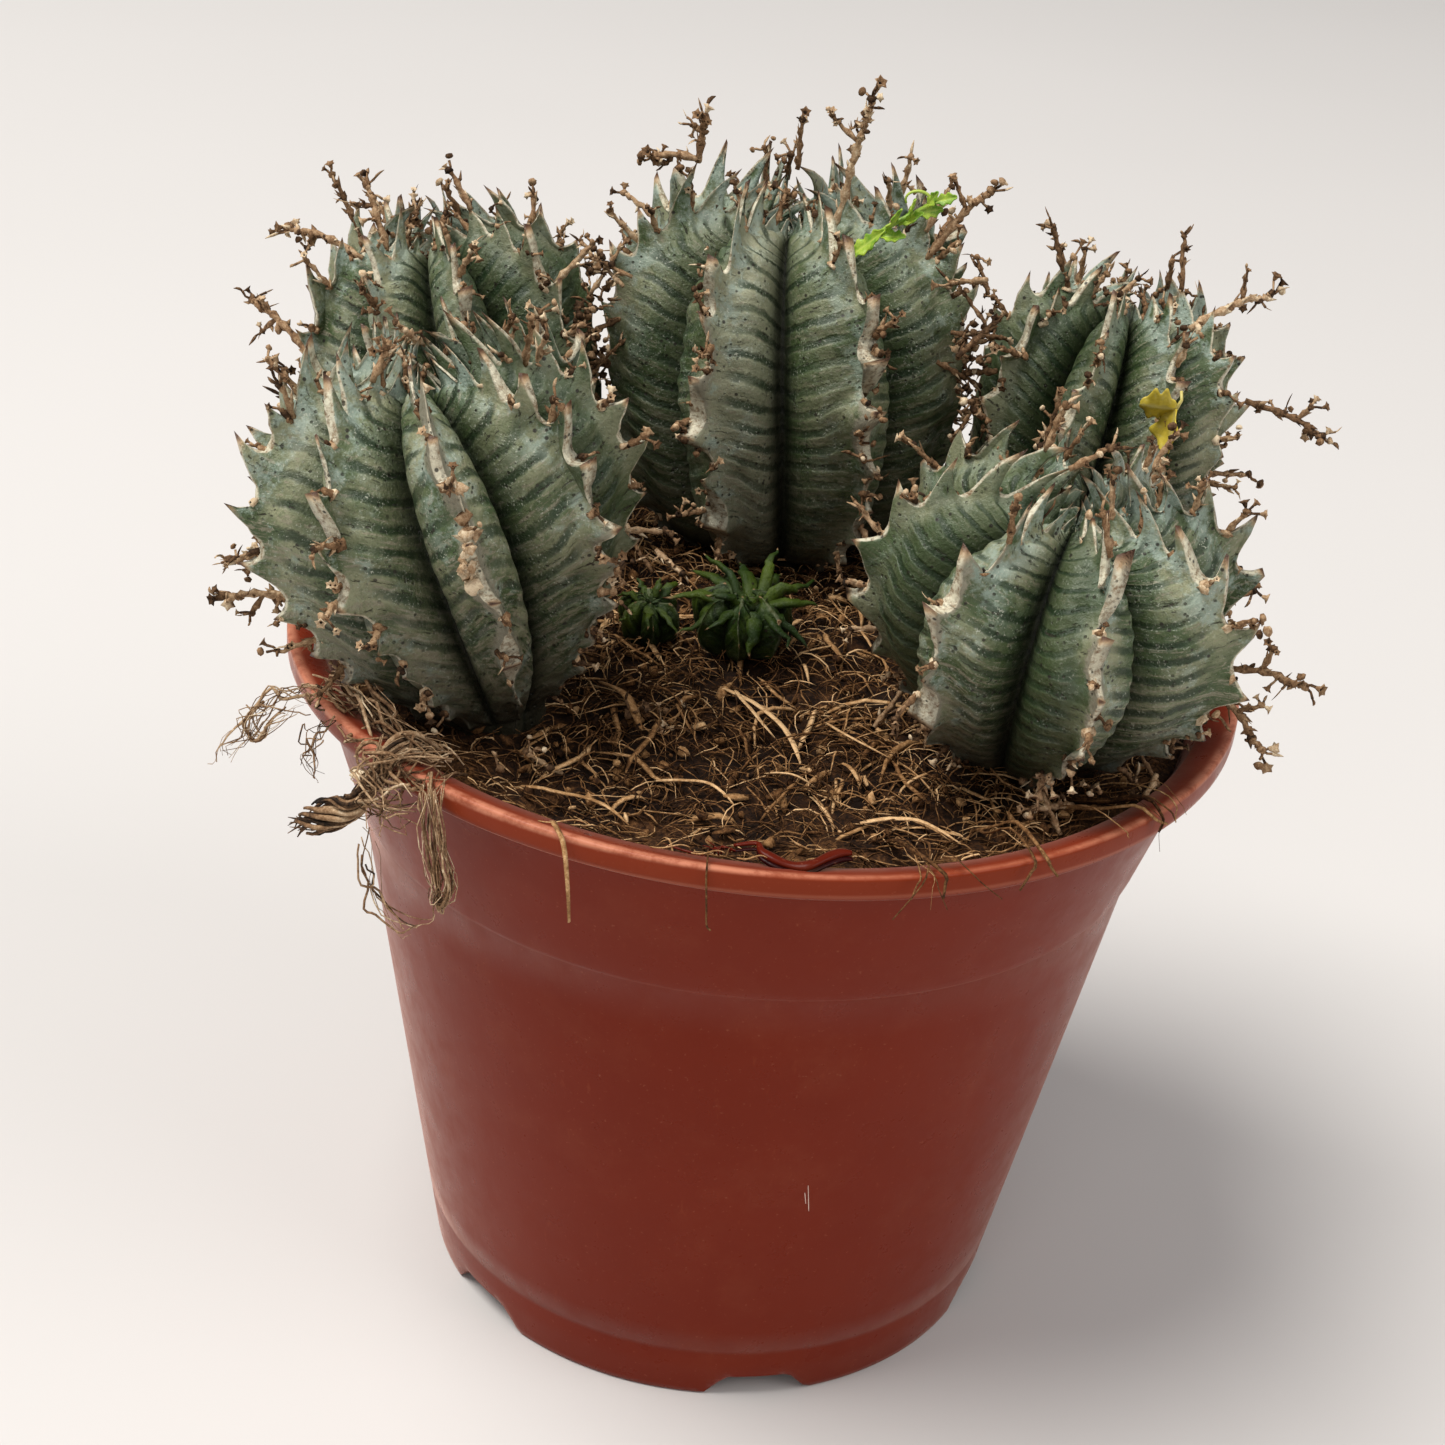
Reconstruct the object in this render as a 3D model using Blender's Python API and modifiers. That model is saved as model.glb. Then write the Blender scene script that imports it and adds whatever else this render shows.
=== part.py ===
"""Potted african milk barrel: a clump of ribbed, toothed stems in a plastic nursery pot filled with soil."""
import math
import random

import bmesh
import bpy
import numpy as np
from mathutils import Matrix, Vector

SEED = 11

# Pot: a turned plastic shell with a flanged rim, a flared shoulder band and a notched foot ring.
POT_SIDES = 40
RIM_RADIUS = 0.085
RIM_TOP = 0.131
FLANGE_HEIGHT = 0.0042
SHOULDER_RADIUS = 0.0806
SHOULDER_FOOT_RADIUS = 0.0726
SHOULDER_FOOT = 0.100
STEP_WIDTH = 0.0009
FOOT_RADIUS = 0.0551
FOOT_RING_WIDTH = 0.0024
WALL = 0.002
FLOOR_UNDERSIDE = 0.0056
LAND_RADIUS = 0.079
LAND_HEIGHT = 0.129
LIP_RADIUS = 0.0776
LIP_HEIGHT = 0.1255
NOTCH_COUNT = 6
NOTCH_FIRST = math.radians(13)
NOTCH_TOP_WIDTH = 0.0115
NOTCH_GROUND_WIDTH = 0.020
NOTCH_HEIGHT = 0.0046
DRAIN_RADIUS = 0.0045
DRAIN_CIRCLE = 0.036

# Soil: fills the pot to a few millimetres below the rim and is mounded in the middle.
SOIL_EDGE_RADIUS = 0.0766
SOIL_EDGE_HEIGHT = 0.1262
SOIL_MOUND = 0.0018
SOIL_RINGS = 6
SOIL_CLEARANCE = 0.0005
STRAW_COUNT = 12
STRAW_RADIUS = 0.0007

# Stems: radius fractions and height fractions of a rib's crest and of the furrow beside it.
CONE_CREST = [(0.27, 0.02), (0.45, 0.11), (0.70, 0.27), (0.91, 0.47), (0.995, 0.66),
              (0.90, 0.84), (0.69, 0.95), (0.42, 0.99), (0.18, 0.955), (0.0, 0.915)]
BARREL_CREST = [(0.29, 0.02), (0.60, 0.08), (0.86, 0.23), (0.98, 0.44), (1.0, 0.65),
                (0.90, 0.84), (0.69, 0.95), (0.42, 0.99), (0.18, 0.955), (0.0, 0.915)]
FURROW = [(0.26, 0.02), (0.29, 0.08), (0.38, 0.22), (0.45, 0.40), (0.46, 0.58),
          (0.39, 0.74), (0.27, 0.85), (0.16, 0.895), (0.07, 0.91), (0.0, 0.915)]
RIB_LINEAR = 0.35
RIB_FLANK = 0.6
NECK_FRACTION = 0.26
NECK_DEPTH = 0.009
NECK_CLEARANCE = 0.00045
HOLE_OVERRUN = 0.01
TOOTH_LOW = 0.07
TOOTH_LEAN = 0.35
NEIGHBOUR_GAP = 0.0005
SOIL_GAP = 0.0009
STALK_RADIUS = 0.00065
STALK_SINK = 0.0022

STEMS = {
    "stem_front_left": dict(foot=(-0.044, -0.036), lean=(-0.24, 0.02), radius=0.031, height=0.061, horn=0.17,
                            ribs=9, phase=-75, teeth=11, barrel=0.1, twist=-36, widen=0),
    "stem_back_left": dict(foot=(-0.052, 0.033), lean=(-0.28, 0.08), radius=0.0275, height=0.062, horn=0.12,
                           ribs=9, phase=-112, teeth=10, barrel=0.4, twist=-5, widen=0),
    "stem_centre": dict(foot=(0.0005, 0.0455), lean=(-0.05, 0.0), radius=0.0355, height=0.069, horn=0.12,
                        ribs=8, phase=-113, teeth=12, barrel=0.9, twist=-14, widen=0.12),
    "stem_back_right": dict(foot=(0.0545, 0.037), lean=(0.11, 0.08), radius=0.0245, height=0.061, horn=0.13,
                            ribs=9, phase=-110, teeth=10, barrel=0.4, twist=8, widen=0),
    "stem_front_right": dict(foot=(0.044, -0.029), lean=(0.07, -0.18), radius=0.0315, height=0.050, horn=0.17,
                             ribs=8, phase=-127, teeth=9, barrel=0.15, twist=0, widen=0.16),
    "offset_large": dict(foot=(-0.0045, -0.005), lean=(0.0, -0.1), radius=0.0095, height=0.0125, horn=0.17,
                         ribs=7, phase=-90, teeth=4, barrel=0.9, twist=0, widen=0),
    "offset_small": dict(foot=(-0.021, -0.003), lean=(0.0, -0.1), radius=0.006, height=0.009, horn=0.17,
                         ribs=6, phase=-80, teeth=3, barrel=0.9, twist=0, widen=0),
}

# Long dried flower stalks: the stem, a point near the root and the tip.
LONG_STALKS = [
    ("stem_centre", (-0.0195, 0.041, 0.193), (-0.0201, 0.040, 0.2119)),
    ("stem_centre", (-0.0200, 0.041, 0.201), (-0.0286, 0.040, 0.2044)),
    ("stem_centre", (0.0080, 0.041, 0.193), (0.0095, 0.040, 0.2181)),
    ("stem_centre", (0.0210, 0.041, 0.190), (0.0324, 0.040, 0.2040)),
    ("stem_back_left", (-0.0740, 0.038, 0.180), (-0.0807, 0.038, 0.1942)),
    ("stem_back_left", (-0.0800, 0.037, 0.172), (-0.0945, 0.036, 0.1854)),
    ("stem_back_left", (-0.0840, 0.036, 0.162), (-0.1014, 0.036, 0.1709)),
    ("stem_back_right", (0.0720, 0.042, 0.173), (0.0863, 0.042, 0.1892)),
    ("stem_back_right", (0.0820, 0.042, 0.163), (0.1012, 0.042, 0.1629)),
    ("stem_front_right", (0.0720, -0.034, 0.151), (0.0892, -0.034, 0.1467)),
    ("stem_front_right", (0.0700, -0.034, 0.143), (0.0845, -0.034, 0.1340)),
    ("stem_front_left", (-0.0780, -0.034, 0.150), (-0.0893, -0.034, 0.1496)),
    ("stem_front_left", (-0.0760, -0.034, 0.143), (-0.0904, -0.034, 0.1431)),
]

# Balls that short stalks stay out of: round the fibre clump, the weed and the fallen leaf.
KEPT_CLEAR = [((-0.060, -0.060, 0.132), 0.014), ((0.0175, 0.026, 0.1965), 0.011),
              ((0.067, 0.012, 0.173), 0.008)]

POT_COLOUR = (0.30, 0.065, 0.035, 1)
SOIL_COLOUR = (0.10, 0.055, 0.028, 1)
STEM_COLOUR = (0.20, 0.26, 0.20, 1)
OFFSET_COLOUR = (0.06, 0.12, 0.05, 1)
FIBRE_COLOUR = (0.36, 0.24, 0.15, 1)
SPROUT_COLOUR = (0.30, 0.55, 0.06, 1)
LEAF_COLOUR = (0.62, 0.52, 0.06, 1)


def start():
    """Empties the scene and makes the two collections."""
    for obj in list(bpy.data.objects):
        bpy.data.objects.remove(obj)
    made = []
    for name in ("potted_african_milk_barrel", "cutters"):
        collection = bpy.data.collections.new(name)
        bpy.context.scene.collection.children.link(collection)
        made.append(collection)
    return made


def material(name, colour, roughness):
    made = bpy.data.materials.new(name)
    made.use_nodes = True
    shader = made.node_tree.nodes["Principled BSDF"]
    shader.inputs["Base Color"].default_value = colour
    shader.inputs["Roughness"].default_value = roughness
    shader.inputs["Metallic"].default_value = 0.0
    return made


def add_mesh(name, mesh, collection):
    obj = bpy.data.objects.new(name, mesh)
    collection.objects.link(obj)
    return obj


def evaluated_mesh(obj):
    """The object's mesh with its modifiers applied."""
    graph = bpy.context.evaluated_depsgraph_get()
    return bpy.data.meshes.new_from_object(obj.evaluated_get(graph))


def hide_cutter(obj):
    obj.hide_render = True
    obj.display_type = 'WIRE'


def turned(name, profile, sides, collection):
    """A solid of revolution about Z from a profile of (radius, height) points."""
    mesh = bpy.data.meshes.new(name)
    points = [(radius, 0, height) for radius, height in profile]
    mesh.from_pydata(points, [(i, i + 1) for i in range(len(points) - 1)], [])
    obj = add_mesh(name, mesh, collection)
    screw = obj.modifiers.new("turn", 'SCREW')
    screw.steps = sides
    screw.render_steps = sides
    screw.use_merge_vertices = True
    screw.merge_threshold = 0.0001
    return obj


def peg(name, radius, length, sides, cutters):
    """A hidden upright cylinder that cuts a round hole."""
    bm = bmesh.new()
    bmesh.ops.create_cone(bm, cap_ends=True, segments=sides, radius1=radius, radius2=radius, depth=length)
    mesh = bpy.data.meshes.new(name)
    bm.to_mesh(mesh)
    bm.free()
    obj = add_mesh(name, mesh, cutters)
    hide_cutter(obj)
    return obj


def cut(obj, cutter):
    boolean = obj.modifiers.new("cut", 'BOOLEAN')
    boolean.operation = 'DIFFERENCE'
    boolean.object = cutter
    boolean.solver = 'EXACT'


def fuse(obj, collection):
    """Joins every object of a collection to obj, applies the join and removes the collection's objects."""
    boolean = obj.modifiers.new("fuse", 'BOOLEAN')
    boolean.operation = 'UNION'
    boolean.operand_type = 'COLLECTION'
    boolean.collection = collection
    boolean.solver = 'MANIFOLD'
    joined = evaluated_mesh(obj)
    obj.modifiers.clear()
    obj.data = joined
    for repeat in list(collection.objects):
        bpy.data.objects.remove(repeat)
    bpy.data.collections.remove(collection)


def repeats():
    """An empty collection for a node's repeated bits, until they are fused."""
    collection = bpy.data.collections.new("repeats")
    bpy.context.scene.collection.children.link(collection)
    return collection


def stick(path, radii, collection):
    """A four-sided tapering tube with closed ends, through the path's points."""
    curve = bpy.data.curves.new("stick", 'CURVE')
    curve.dimensions = '3D'
    curve.bevel_depth = STALK_RADIUS
    curve.bevel_resolution = 0
    curve.use_fill_caps = True
    spline = curve.splines.new('POLY')
    spline.points.add(len(path) - 1)
    for point, place, radius in zip(spline.points, path, radii):
        point.co = (*place, 1)
        point.radius = radius / STALK_RADIUS
    tube = add_mesh("tube", curve, collection)
    bm = bmesh.new()
    bm.from_mesh(evaluated_mesh(tube))
    bpy.data.objects.remove(tube)
    bmesh.ops.remove_doubles(bm, verts=bm.verts, dist=0.00001)
    bmesh.ops.recalc_face_normals(bm, faces=bm.faces)
    mesh = bpy.data.meshes.new("stick")
    bm.to_mesh(mesh)
    bm.free()
    return add_mesh("stick", mesh, collection)


def lip_radius(height):
    """Radius of the pot's inner wall at a height."""
    floor = FLOOR_UNDERSIDE + WALL
    heights = [floor, SHOULDER_FOOT, LIP_HEIGHT, LAND_HEIGHT]
    radii = [FOOT_RADIUS - WALL, SHOULDER_FOOT_RADIUS - WALL, LIP_RADIUS, LAND_RADIUS]
    return float(np.interp(height, heights, radii))


def make_pot(parts, cutters):
    floor = FLOOR_UNDERSIDE + WALL
    flange_bottom = RIM_TOP - FLANGE_HEIGHT
    profile = [
        (0, floor),
        (lip_radius(floor), floor),
        (lip_radius(SHOULDER_FOOT), SHOULDER_FOOT),
        (LIP_RADIUS, LIP_HEIGHT),
        (LAND_RADIUS, LAND_HEIGHT),
        (RIM_RADIUS - 0.0016, RIM_TOP),
        (RIM_RADIUS - 0.0005, RIM_TOP - 0.0002),
        (RIM_RADIUS, RIM_TOP - 0.0012),
        (RIM_RADIUS, flange_bottom + 0.0003),
        (SHOULDER_RADIUS, flange_bottom),
        (SHOULDER_FOOT_RADIUS, SHOULDER_FOOT),
        (SHOULDER_FOOT_RADIUS - STEP_WIDTH, SHOULDER_FOOT - STEP_WIDTH),
        (FOOT_RADIUS, 0),
        (FOOT_RADIUS - FOOT_RING_WIDTH, 0),
        (FOOT_RADIUS - FOOT_RING_WIDTH, FLOOR_UNDERSIDE),
        (0, FLOOR_UNDERSIDE),
    ]
    pot = turned("pot", profile, POT_SIDES, parts)
    pot.data.materials.append(material("pot_plastic", POT_COLOUR, 0.45))
    for index in range(NOTCH_COUNT // 2):
        bm = bmesh.new()
        bmesh.ops.create_cube(bm, size=1)
        for vert in bm.verts:
            low = vert.co.z < 0
            vert.co.x *= NOTCH_GROUND_WIDTH if low else NOTCH_TOP_WIDTH
            vert.co.y *= 3 * FOOT_RADIUS
            vert.co.z = -0.001 if low else NOTCH_HEIGHT
        mesh = bpy.data.meshes.new("notch")
        bm.to_mesh(mesh)
        bm.free()
        notch = add_mesh(f"notch_{index}", mesh, cutters)
        notch.rotation_euler.z = NOTCH_FIRST + index * math.tau / NOTCH_COUNT
        hide_cutter(notch)
        cut(pot, notch)
    for index in range(NOTCH_COUNT + 1):
        drain = peg(f"drain_{index}", DRAIN_RADIUS, 4 * WALL, 8, cutters)
        angle = NOTCH_FIRST + (index + 0.5) * math.tau / NOTCH_COUNT
        reach = DRAIN_CIRCLE if index < NOTCH_COUNT else 0
        drain.location = (reach * math.sin(angle), -reach * math.cos(angle), FLOOR_UNDERSIDE + WALL / 2)
        cut(pot, drain)
    return pot


def soil_height(x, y):
    """Height of the soil's surface: a low mound with hollows and clods, lower at +X."""
    reach = np.minimum((x * x + y * y) / SOIL_EDGE_RADIUS ** 2, 1)
    clods = 0.0008 * np.sin(110 * x + 1.3) * np.cos(95 * y - 0.4) + 0.0003 * np.sin(150 * x - 130 * y)
    return SOIL_EDGE_HEIGHT + SOIL_MOUND * (1 - reach) - 0.014 * x + clods * (1 - 0.6 * reach)


def make_soil(parts, cutters):
    floor = FLOOR_UNDERSIDE + WALL + SOIL_CLEARANCE
    profile = [(SOIL_EDGE_RADIUS * ring / SOIL_RINGS, SOIL_EDGE_HEIGHT) for ring in range(SOIL_RINGS + 1)]
    for height in (0.118, SHOULDER_FOOT, floor):
        profile.append((lip_radius(height) - SOIL_CLEARANCE, height))
    profile.append((0, floor))
    turned_soil = turned("turned_soil", profile, POT_SIDES, parts)
    mesh = evaluated_mesh(turned_soil)
    bpy.data.objects.remove(turned_soil)
    for vert in mesh.vertices:
        if vert.co.z > SOIL_EDGE_HEIGHT - 0.001:
            vert.co.z = soil_height(vert.co.x, vert.co.y)
    soil = add_mesh("soil", mesh, parts)
    soil.data.materials.append(material("soil_mix", SOIL_COLOUR, 0.95))
    for name, stem in STEMS.items():
        neck = NECK_FRACTION * stem["radius"]
        base = float(soil_height(*stem["foot"]))
        length = min(NECK_DEPTH, 3 * neck) + HOLE_OVERRUN
        hole = peg(f"hole_{name}", neck + NECK_CLEARANCE, length, 16, cutters)
        hole.location = (*stem["foot"], base + HOLE_OVERRUN - length / 2 - NECK_CLEARANCE)
        cut(soil, hole)
    holed = evaluated_mesh(soil)
    soil.modifiers.clear()
    soil.data = holed
    return soil


def add_straws(soil):
    """Coir straws that lie on the soil with their ends sunk in, and three that hang over the rim."""
    straws = repeats()
    draw = random.Random(SEED)
    placed = 0
    while placed < STRAW_COUNT:
        reach = 0.066 * math.sqrt(draw.random())
        angle = draw.uniform(0, math.tau)
        middle = Vector((reach * math.cos(angle), reach * math.sin(angle)))
        half = draw.uniform(0.006, 0.011)
        way = draw.uniform(0, math.pi)
        offset = Vector((half * math.cos(way), half * math.sin(way)))
        ends = (middle - offset, middle + offset)
        if max(end.length for end in ends) > 0.071:
            continue
        arch = ((-1, -0.0012), (-0.5, 0.0004), (0.5, 0.0004), (1, -0.0012))
        places = [middle + fraction * offset for fraction, _ in arch]
        if any((place - Vector(stem["foot"])).length < NECK_FRACTION * stem["radius"] + 0.008
               for stem in STEMS.values() for place in places):
            continue
        path = []
        for place, (_, lift) in zip(places, arch):
            path.append((place.x, place.y, float(soil_height(place.x, place.y)) + lift))
        stick(path, [STRAW_RADIUS] * len(path), straws)
        placed += 1
    for angle, reach, drop in ((-1.20, 0.0885, 0.0052), (-0.98, 0.0880, 0.0040), (-0.62, 0.0875, 0.0035)):
        along = Vector((math.cos(angle), math.sin(angle)))
        root = along * 0.068
        path = [(*root, float(soil_height(*root)) - 0.0015)]
        for radius, height in ((0.0745, 0.1312), (0.0825, 0.1326), (reach - 0.0008, 0.1308),
                               (reach, RIM_TOP - drop)):
            path.append((*(along * radius), height))
        stick(path, [STRAW_RADIUS] * len(path), straws)
    fuse(soil, straws)


def stem_axis(stem, height):
    """Points of the stem's leaning axis at given heights."""
    base = float(soil_height(*stem["foot"]))
    rise = height - base
    return stem["foot"][0] + stem["lean"][0] * rise, stem["foot"][1] + stem["lean"][1] * rise


def neighbours(name):
    """The other large stems."""
    big = [other for other in STEMS if other.startswith("stem")]
    return [STEMS[other] for other in big if other != name]


def crossing(name, points):
    """True where a point is past the plane midway to a neighbour, or in the pot's rim."""
    stem = STEMS[name]
    own = np.stack(stem_axis(stem, points[:, 2]), -1)
    bad = np.zeros(len(points), bool)
    for other in neighbours(name):
        theirs = np.stack(stem_axis(other, points[:, 2]), -1)
        apart = theirs - own
        distance = np.linalg.norm(apart, axis=1)
        share = stem["radius"] / (stem["radius"] + other["radius"])
        reach = ((points[:, :2] - own) * apart).sum(1) / distance
        bad |= reach > distance * share - NEIGHBOUR_GAP
    radius = np.linalg.norm(points[:, :2], axis=1)
    height = points[:, 2]
    allowed = LIP_RADIUS - 0.0011 + np.maximum(height - LIP_HEIGHT - 0.0030, 0) / 0.42
    return bad | (radius > allowed)


def draw_in(name, points):
    """Moves points towards the stem's axis until they cross nothing, then up out of the soil."""
    stem = STEMS[name]
    for _ in range(60):
        bad = crossing(name, points)
        if not bad.any():
            break
        own = np.stack(stem_axis(stem, points[bad, 2]), -1)
        points[bad, :2] = own + 0.97 * (points[bad, :2] - own)
    floor = soil_height(points[:, 0], points[:, 1]) + SOIL_GAP
    points[:, 2] = np.maximum(points[:, 2], floor)
    return points


def smooth_curve(control, places):
    """Catmull-Rom curve through control points, at places from 0 to 1."""
    control = np.array(control, float)
    padded = np.vstack([2 * control[0] - control[1], control, 2 * control[-1] - control[-2]])
    scaled = np.asarray(places) * (len(control) - 1)
    index = np.minimum(scaled.astype(int), len(control) - 2)
    part = (scaled - index)[:, None]
    a, b, c, d = (padded[index + shift] for shift in range(4))
    return 0.5 * (2 * b + (c - a) * part + (2 * a - 5 * b + 4 * c - d) * part ** 2
                  + (3 * b - a - 3 * c + d) * part ** 3)


def crest_control(stem):
    blend = stem["barrel"]
    return (1 - blend) * np.array(CONE_CREST) + blend * np.array(BARREL_CREST)


def widened(stem, angle):
    """Angles about a stem's axis with its ribs spaced wider at the front and closer at the back."""
    return angle + stem["widen"] * np.sin(angle + math.pi / 2)


def tooth_places(stem, counts):
    """Places on the profile, from 0 to 1, where a rib's tooth count has the given values."""
    fine = np.linspace(0, 1, 400)
    curve = smooth_curve(crest_control(stem), fine) * [stem["radius"], stem["height"]]
    along = np.concatenate([[0], np.cumsum(np.linalg.norm(np.diff(curve, axis=0), axis=1))])
    along /= along[-1]
    count = stem["teeth"] * (0.75 * along + 0.25 * along ** 3)
    return np.interp(counts, count, fine)


def rib_points(name, counts, turns, tooth):
    """Surface points of a stem, a row for each tooth count and a column for each turn in ribs.

    tooth gives the height of the toothed crest, from 0 to 1, at a row and column.
    """
    stem = STEMS[name]
    places = tooth_places(stem, counts)
    crest = smooth_curve(crest_control(stem), places)
    furrow = smooth_curve(FURROW, places)
    ahead = smooth_curve(crest_control(stem), np.minimum(places + 0.01, 1))
    behind = smooth_curve(crest_control(stem), np.maximum(places - 0.01, 0))
    along = (ahead - behind) * [stem["radius"], stem["height"]]
    along /= np.linalg.norm(along, axis=1)[:, None]
    outward = np.stack([along[:, 1], -along[:, 0]], -1)
    across = np.abs(turns - np.round(turns)) * 2
    rise = 1 - (RIB_LINEAR * across + (1 - RIB_LINEAR) * across ** 4)
    size = [stem["radius"], stem["height"]]
    profile = (furrow[:, None] + (crest - furrow)[:, None] * rise[None, :, None]) * size
    growth = TOOTH_LOW + (stem["horn"] - TOOTH_LOW) * np.clip((places - 0.15) / 0.55, 0, 1)
    growth = growth * np.clip(crest[:, 0] / 0.45, 0, 1) * stem["radius"]
    lift = growth[:, None] * tooth
    profile += lift[..., None] * (outward + TOOTH_LEAN * along)[:, None]
    draw = random.Random(name)
    jitter = [(draw.uniform(-0.03, 0.03), draw.uniform(0.96, 1.02)) for _ in range(stem["ribs"])]
    rib = np.round(turns).astype(int) % stem["ribs"]
    sway = np.array([jitter[i][0] for i in rib]) * (1 - across)
    swell = 1 + (np.array([jitter[i][1] for i in rib]) - 1) * (1 - across)
    twist = math.radians(stem["twist"]) * (places - 0.5)
    angle = math.radians(stem["phase"]) + math.tau * (turns + sway)[None] / stem["ribs"] + twist[:, None]
    angle = widened(stem, angle)
    radius = profile[..., 0] * (1 + (swell - 1)[None] * np.clip(4 * places * (1 - places), 0, 1)[:, None])
    base = float(soil_height(*stem["foot"]))
    rise = profile[..., 1]
    tip = Vector((*stem["lean"], 1)).normalized()
    side = Vector((1, 0, 0))
    side = (side - tip * side.dot(tip)).normalized()
    up = tip.cross(side)
    foot = np.array([*stem["foot"], base])
    points = (foot + rise[..., None] * np.array(tip)
              + (radius * np.cos(angle))[..., None] * np.array(side)
              + (radius * np.sin(angle))[..., None] * np.array(up))
    return points


def stem_rows(stem):
    """Tooth counts of the rows: a row at each tooth's tip and at each gap between teeth."""
    return np.arange(0, stem["teeth"], 0.5)


def zigzag(counts, turns):
    """1 at the tooth tips, which are half a tooth higher on every other rib, and 0 elsewhere."""
    on_crest = np.abs(turns - np.round(turns)) < 1e-6
    start = (np.round(turns).astype(int) % 2) * 0.5
    part = (counts[:, None] + start[None]) % 1
    return np.where(on_crest[None] & (np.abs(part - 0.5) < 1e-6), 1.0, 0.0)


def stem_surface(name):
    stem = STEMS[name]
    counts = stem_rows(stem)
    half = RIB_FLANK / 2
    turns = np.array([rib + shift for rib in range(stem["ribs"]) for shift in (0, half, 0.5, 1 - half)])
    points = rib_points(name, counts, turns, zigzag(counts, turns))
    rows, columns, _ = points.shape
    flat = points.reshape(-1, 3)
    return draw_in(name, flat).reshape(rows, columns, 3), turns


def stem_body(name, parts):
    """The closed ribbed body: a round neck in the soil, the ribbed rows and a point at the growing tip."""
    stem = STEMS[name]
    rows, turns = stem_surface(name)
    neck = NECK_FRACTION * stem["radius"]
    base = float(soil_height(*stem["foot"]))
    angles = math.radians(stem["phase"]) + math.tau * turns / stem["ribs"] - math.radians(stem["twist"]) / 2
    angles = widened(stem, angles)
    circle = np.stack([neck * np.cos(angles), neck * np.sin(angles)], -1) + np.array(stem["foot"])
    depth = min(NECK_DEPTH, 3 * neck)
    rings = []
    for height in (base - depth, base + SOIL_GAP):
        rings.append(np.column_stack([circle, np.full(len(circle), height)]))
    rings.extend(rows)
    tip = rows[-1].mean(0)
    bm = bmesh.new()
    verts = [[bm.verts.new(point) for point in ring] for ring in rings]
    count = len(circle)
    for lower, upper in zip(verts, verts[1:]):
        for i in range(count):
            j = (i + 1) % count
            bm.faces.new((lower[i], lower[j], upper[j], upper[i]))
    top = bm.verts.new(tip)
    bottom = bm.verts.new((*stem["foot"], base - depth))
    for i in range(count):
        j = (i + 1) % count
        bm.faces.new((verts[-1][i], verts[-1][j], top))
        bm.faces.new((verts[0][j], verts[0][i], bottom))
    bmesh.ops.triangulate(bm, faces=bm.faces)
    mesh = bpy.data.meshes.new(name)
    bm.to_mesh(mesh)
    bm.free()
    return add_mesh(name, mesh, parts)


def clear_of_all(name, path):
    points = np.array(path)
    if crossing(name, points).any():
        return False
    if (points[:, 2] < soil_height(points[:, 0], points[:, 1]) + 0.0015).any():
        return False
    balls = list(KEPT_CLEAR)
    for other in ("offset_large", "offset_small"):
        balls.append(((*STEMS[other]["foot"], SOIL_EDGE_HEIGHT + 0.006), STEMS[other]["radius"] + 0.005))
    return all((np.linalg.norm(points - np.array(centre), axis=1) > reach).all() for centre, reach in balls)


def stalk_stub(name, count, rib, draw, stalks):
    """A short dried flower stalk just above a tooth, with the flower's dry cup on its end."""
    stem = STEMS[name]
    turns = np.array([rib, rib], float)
    root = rib_points(name, np.array([count]), turns, np.zeros((1, 2)))[0]
    root = draw_in(name, root)[0]
    axis = np.array([*stem_axis(stem, root[2]), root[2] - 0.3 * stem["radius"]])
    way = Vector(root - axis).normalized()
    way = (way + Vector([draw.uniform(-0.25, 0.25) for _ in range(3)])).normalized()
    length = draw.uniform(0.0045, 0.009)
    root = Vector(root)
    path = [root - way * STALK_SINK, root + way * length * 0.7, root + way * length]
    if clear_of_all(name, path[1:]):
        stick(path, [1.3 * STALK_RADIUS, STALK_RADIUS, 2.2 * STALK_RADIUS], stalks)


def long_stalk(name, near, tip, stalks):
    """A long dried flower stalk from the crest nearest a point, with a cup on its end and on a branch."""
    stem = STEMS[name]
    counts = np.arange(2, stem["teeth"] - 1) + 0.0
    ribs = np.arange(stem["ribs"]) + 0.0
    crests = rib_points(name, counts, ribs, np.zeros((len(counts), len(ribs)))).reshape(-1, 3)
    crests = draw_in(name, crests)
    root = crests[np.linalg.norm(crests - np.array(near), axis=1).argmin()]
    axis = Vector((*stem_axis(stem, root[2]), root[2] - 0.3 * stem["radius"]))
    tip = Vector(tip)
    root = Vector(root)
    root -= (root - axis).normalized() * STALK_SINK
    way = tip - root
    bow = Vector((0, 0, 0.06 * way.length))
    path = [root, root + 0.35 * way + bow, root + 0.7 * way + bow, root + 0.88 * way, tip]
    widths = [1.6, 1.3, 1.1, 1.1, 2.4]
    stick(path, [width * STALK_RADIUS for width in widths], stalks)
    fork = root + 0.6 * way + bow
    side = way.cross(Vector((0.2, 1, 0.1))).normalized() * 0.16 * way.length + 0.08 * way
    stick([fork, fork + side, fork + 1.4 * side], [STALK_RADIUS, STALK_RADIUS, 2.0 * STALK_RADIUS], stalks)


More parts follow.
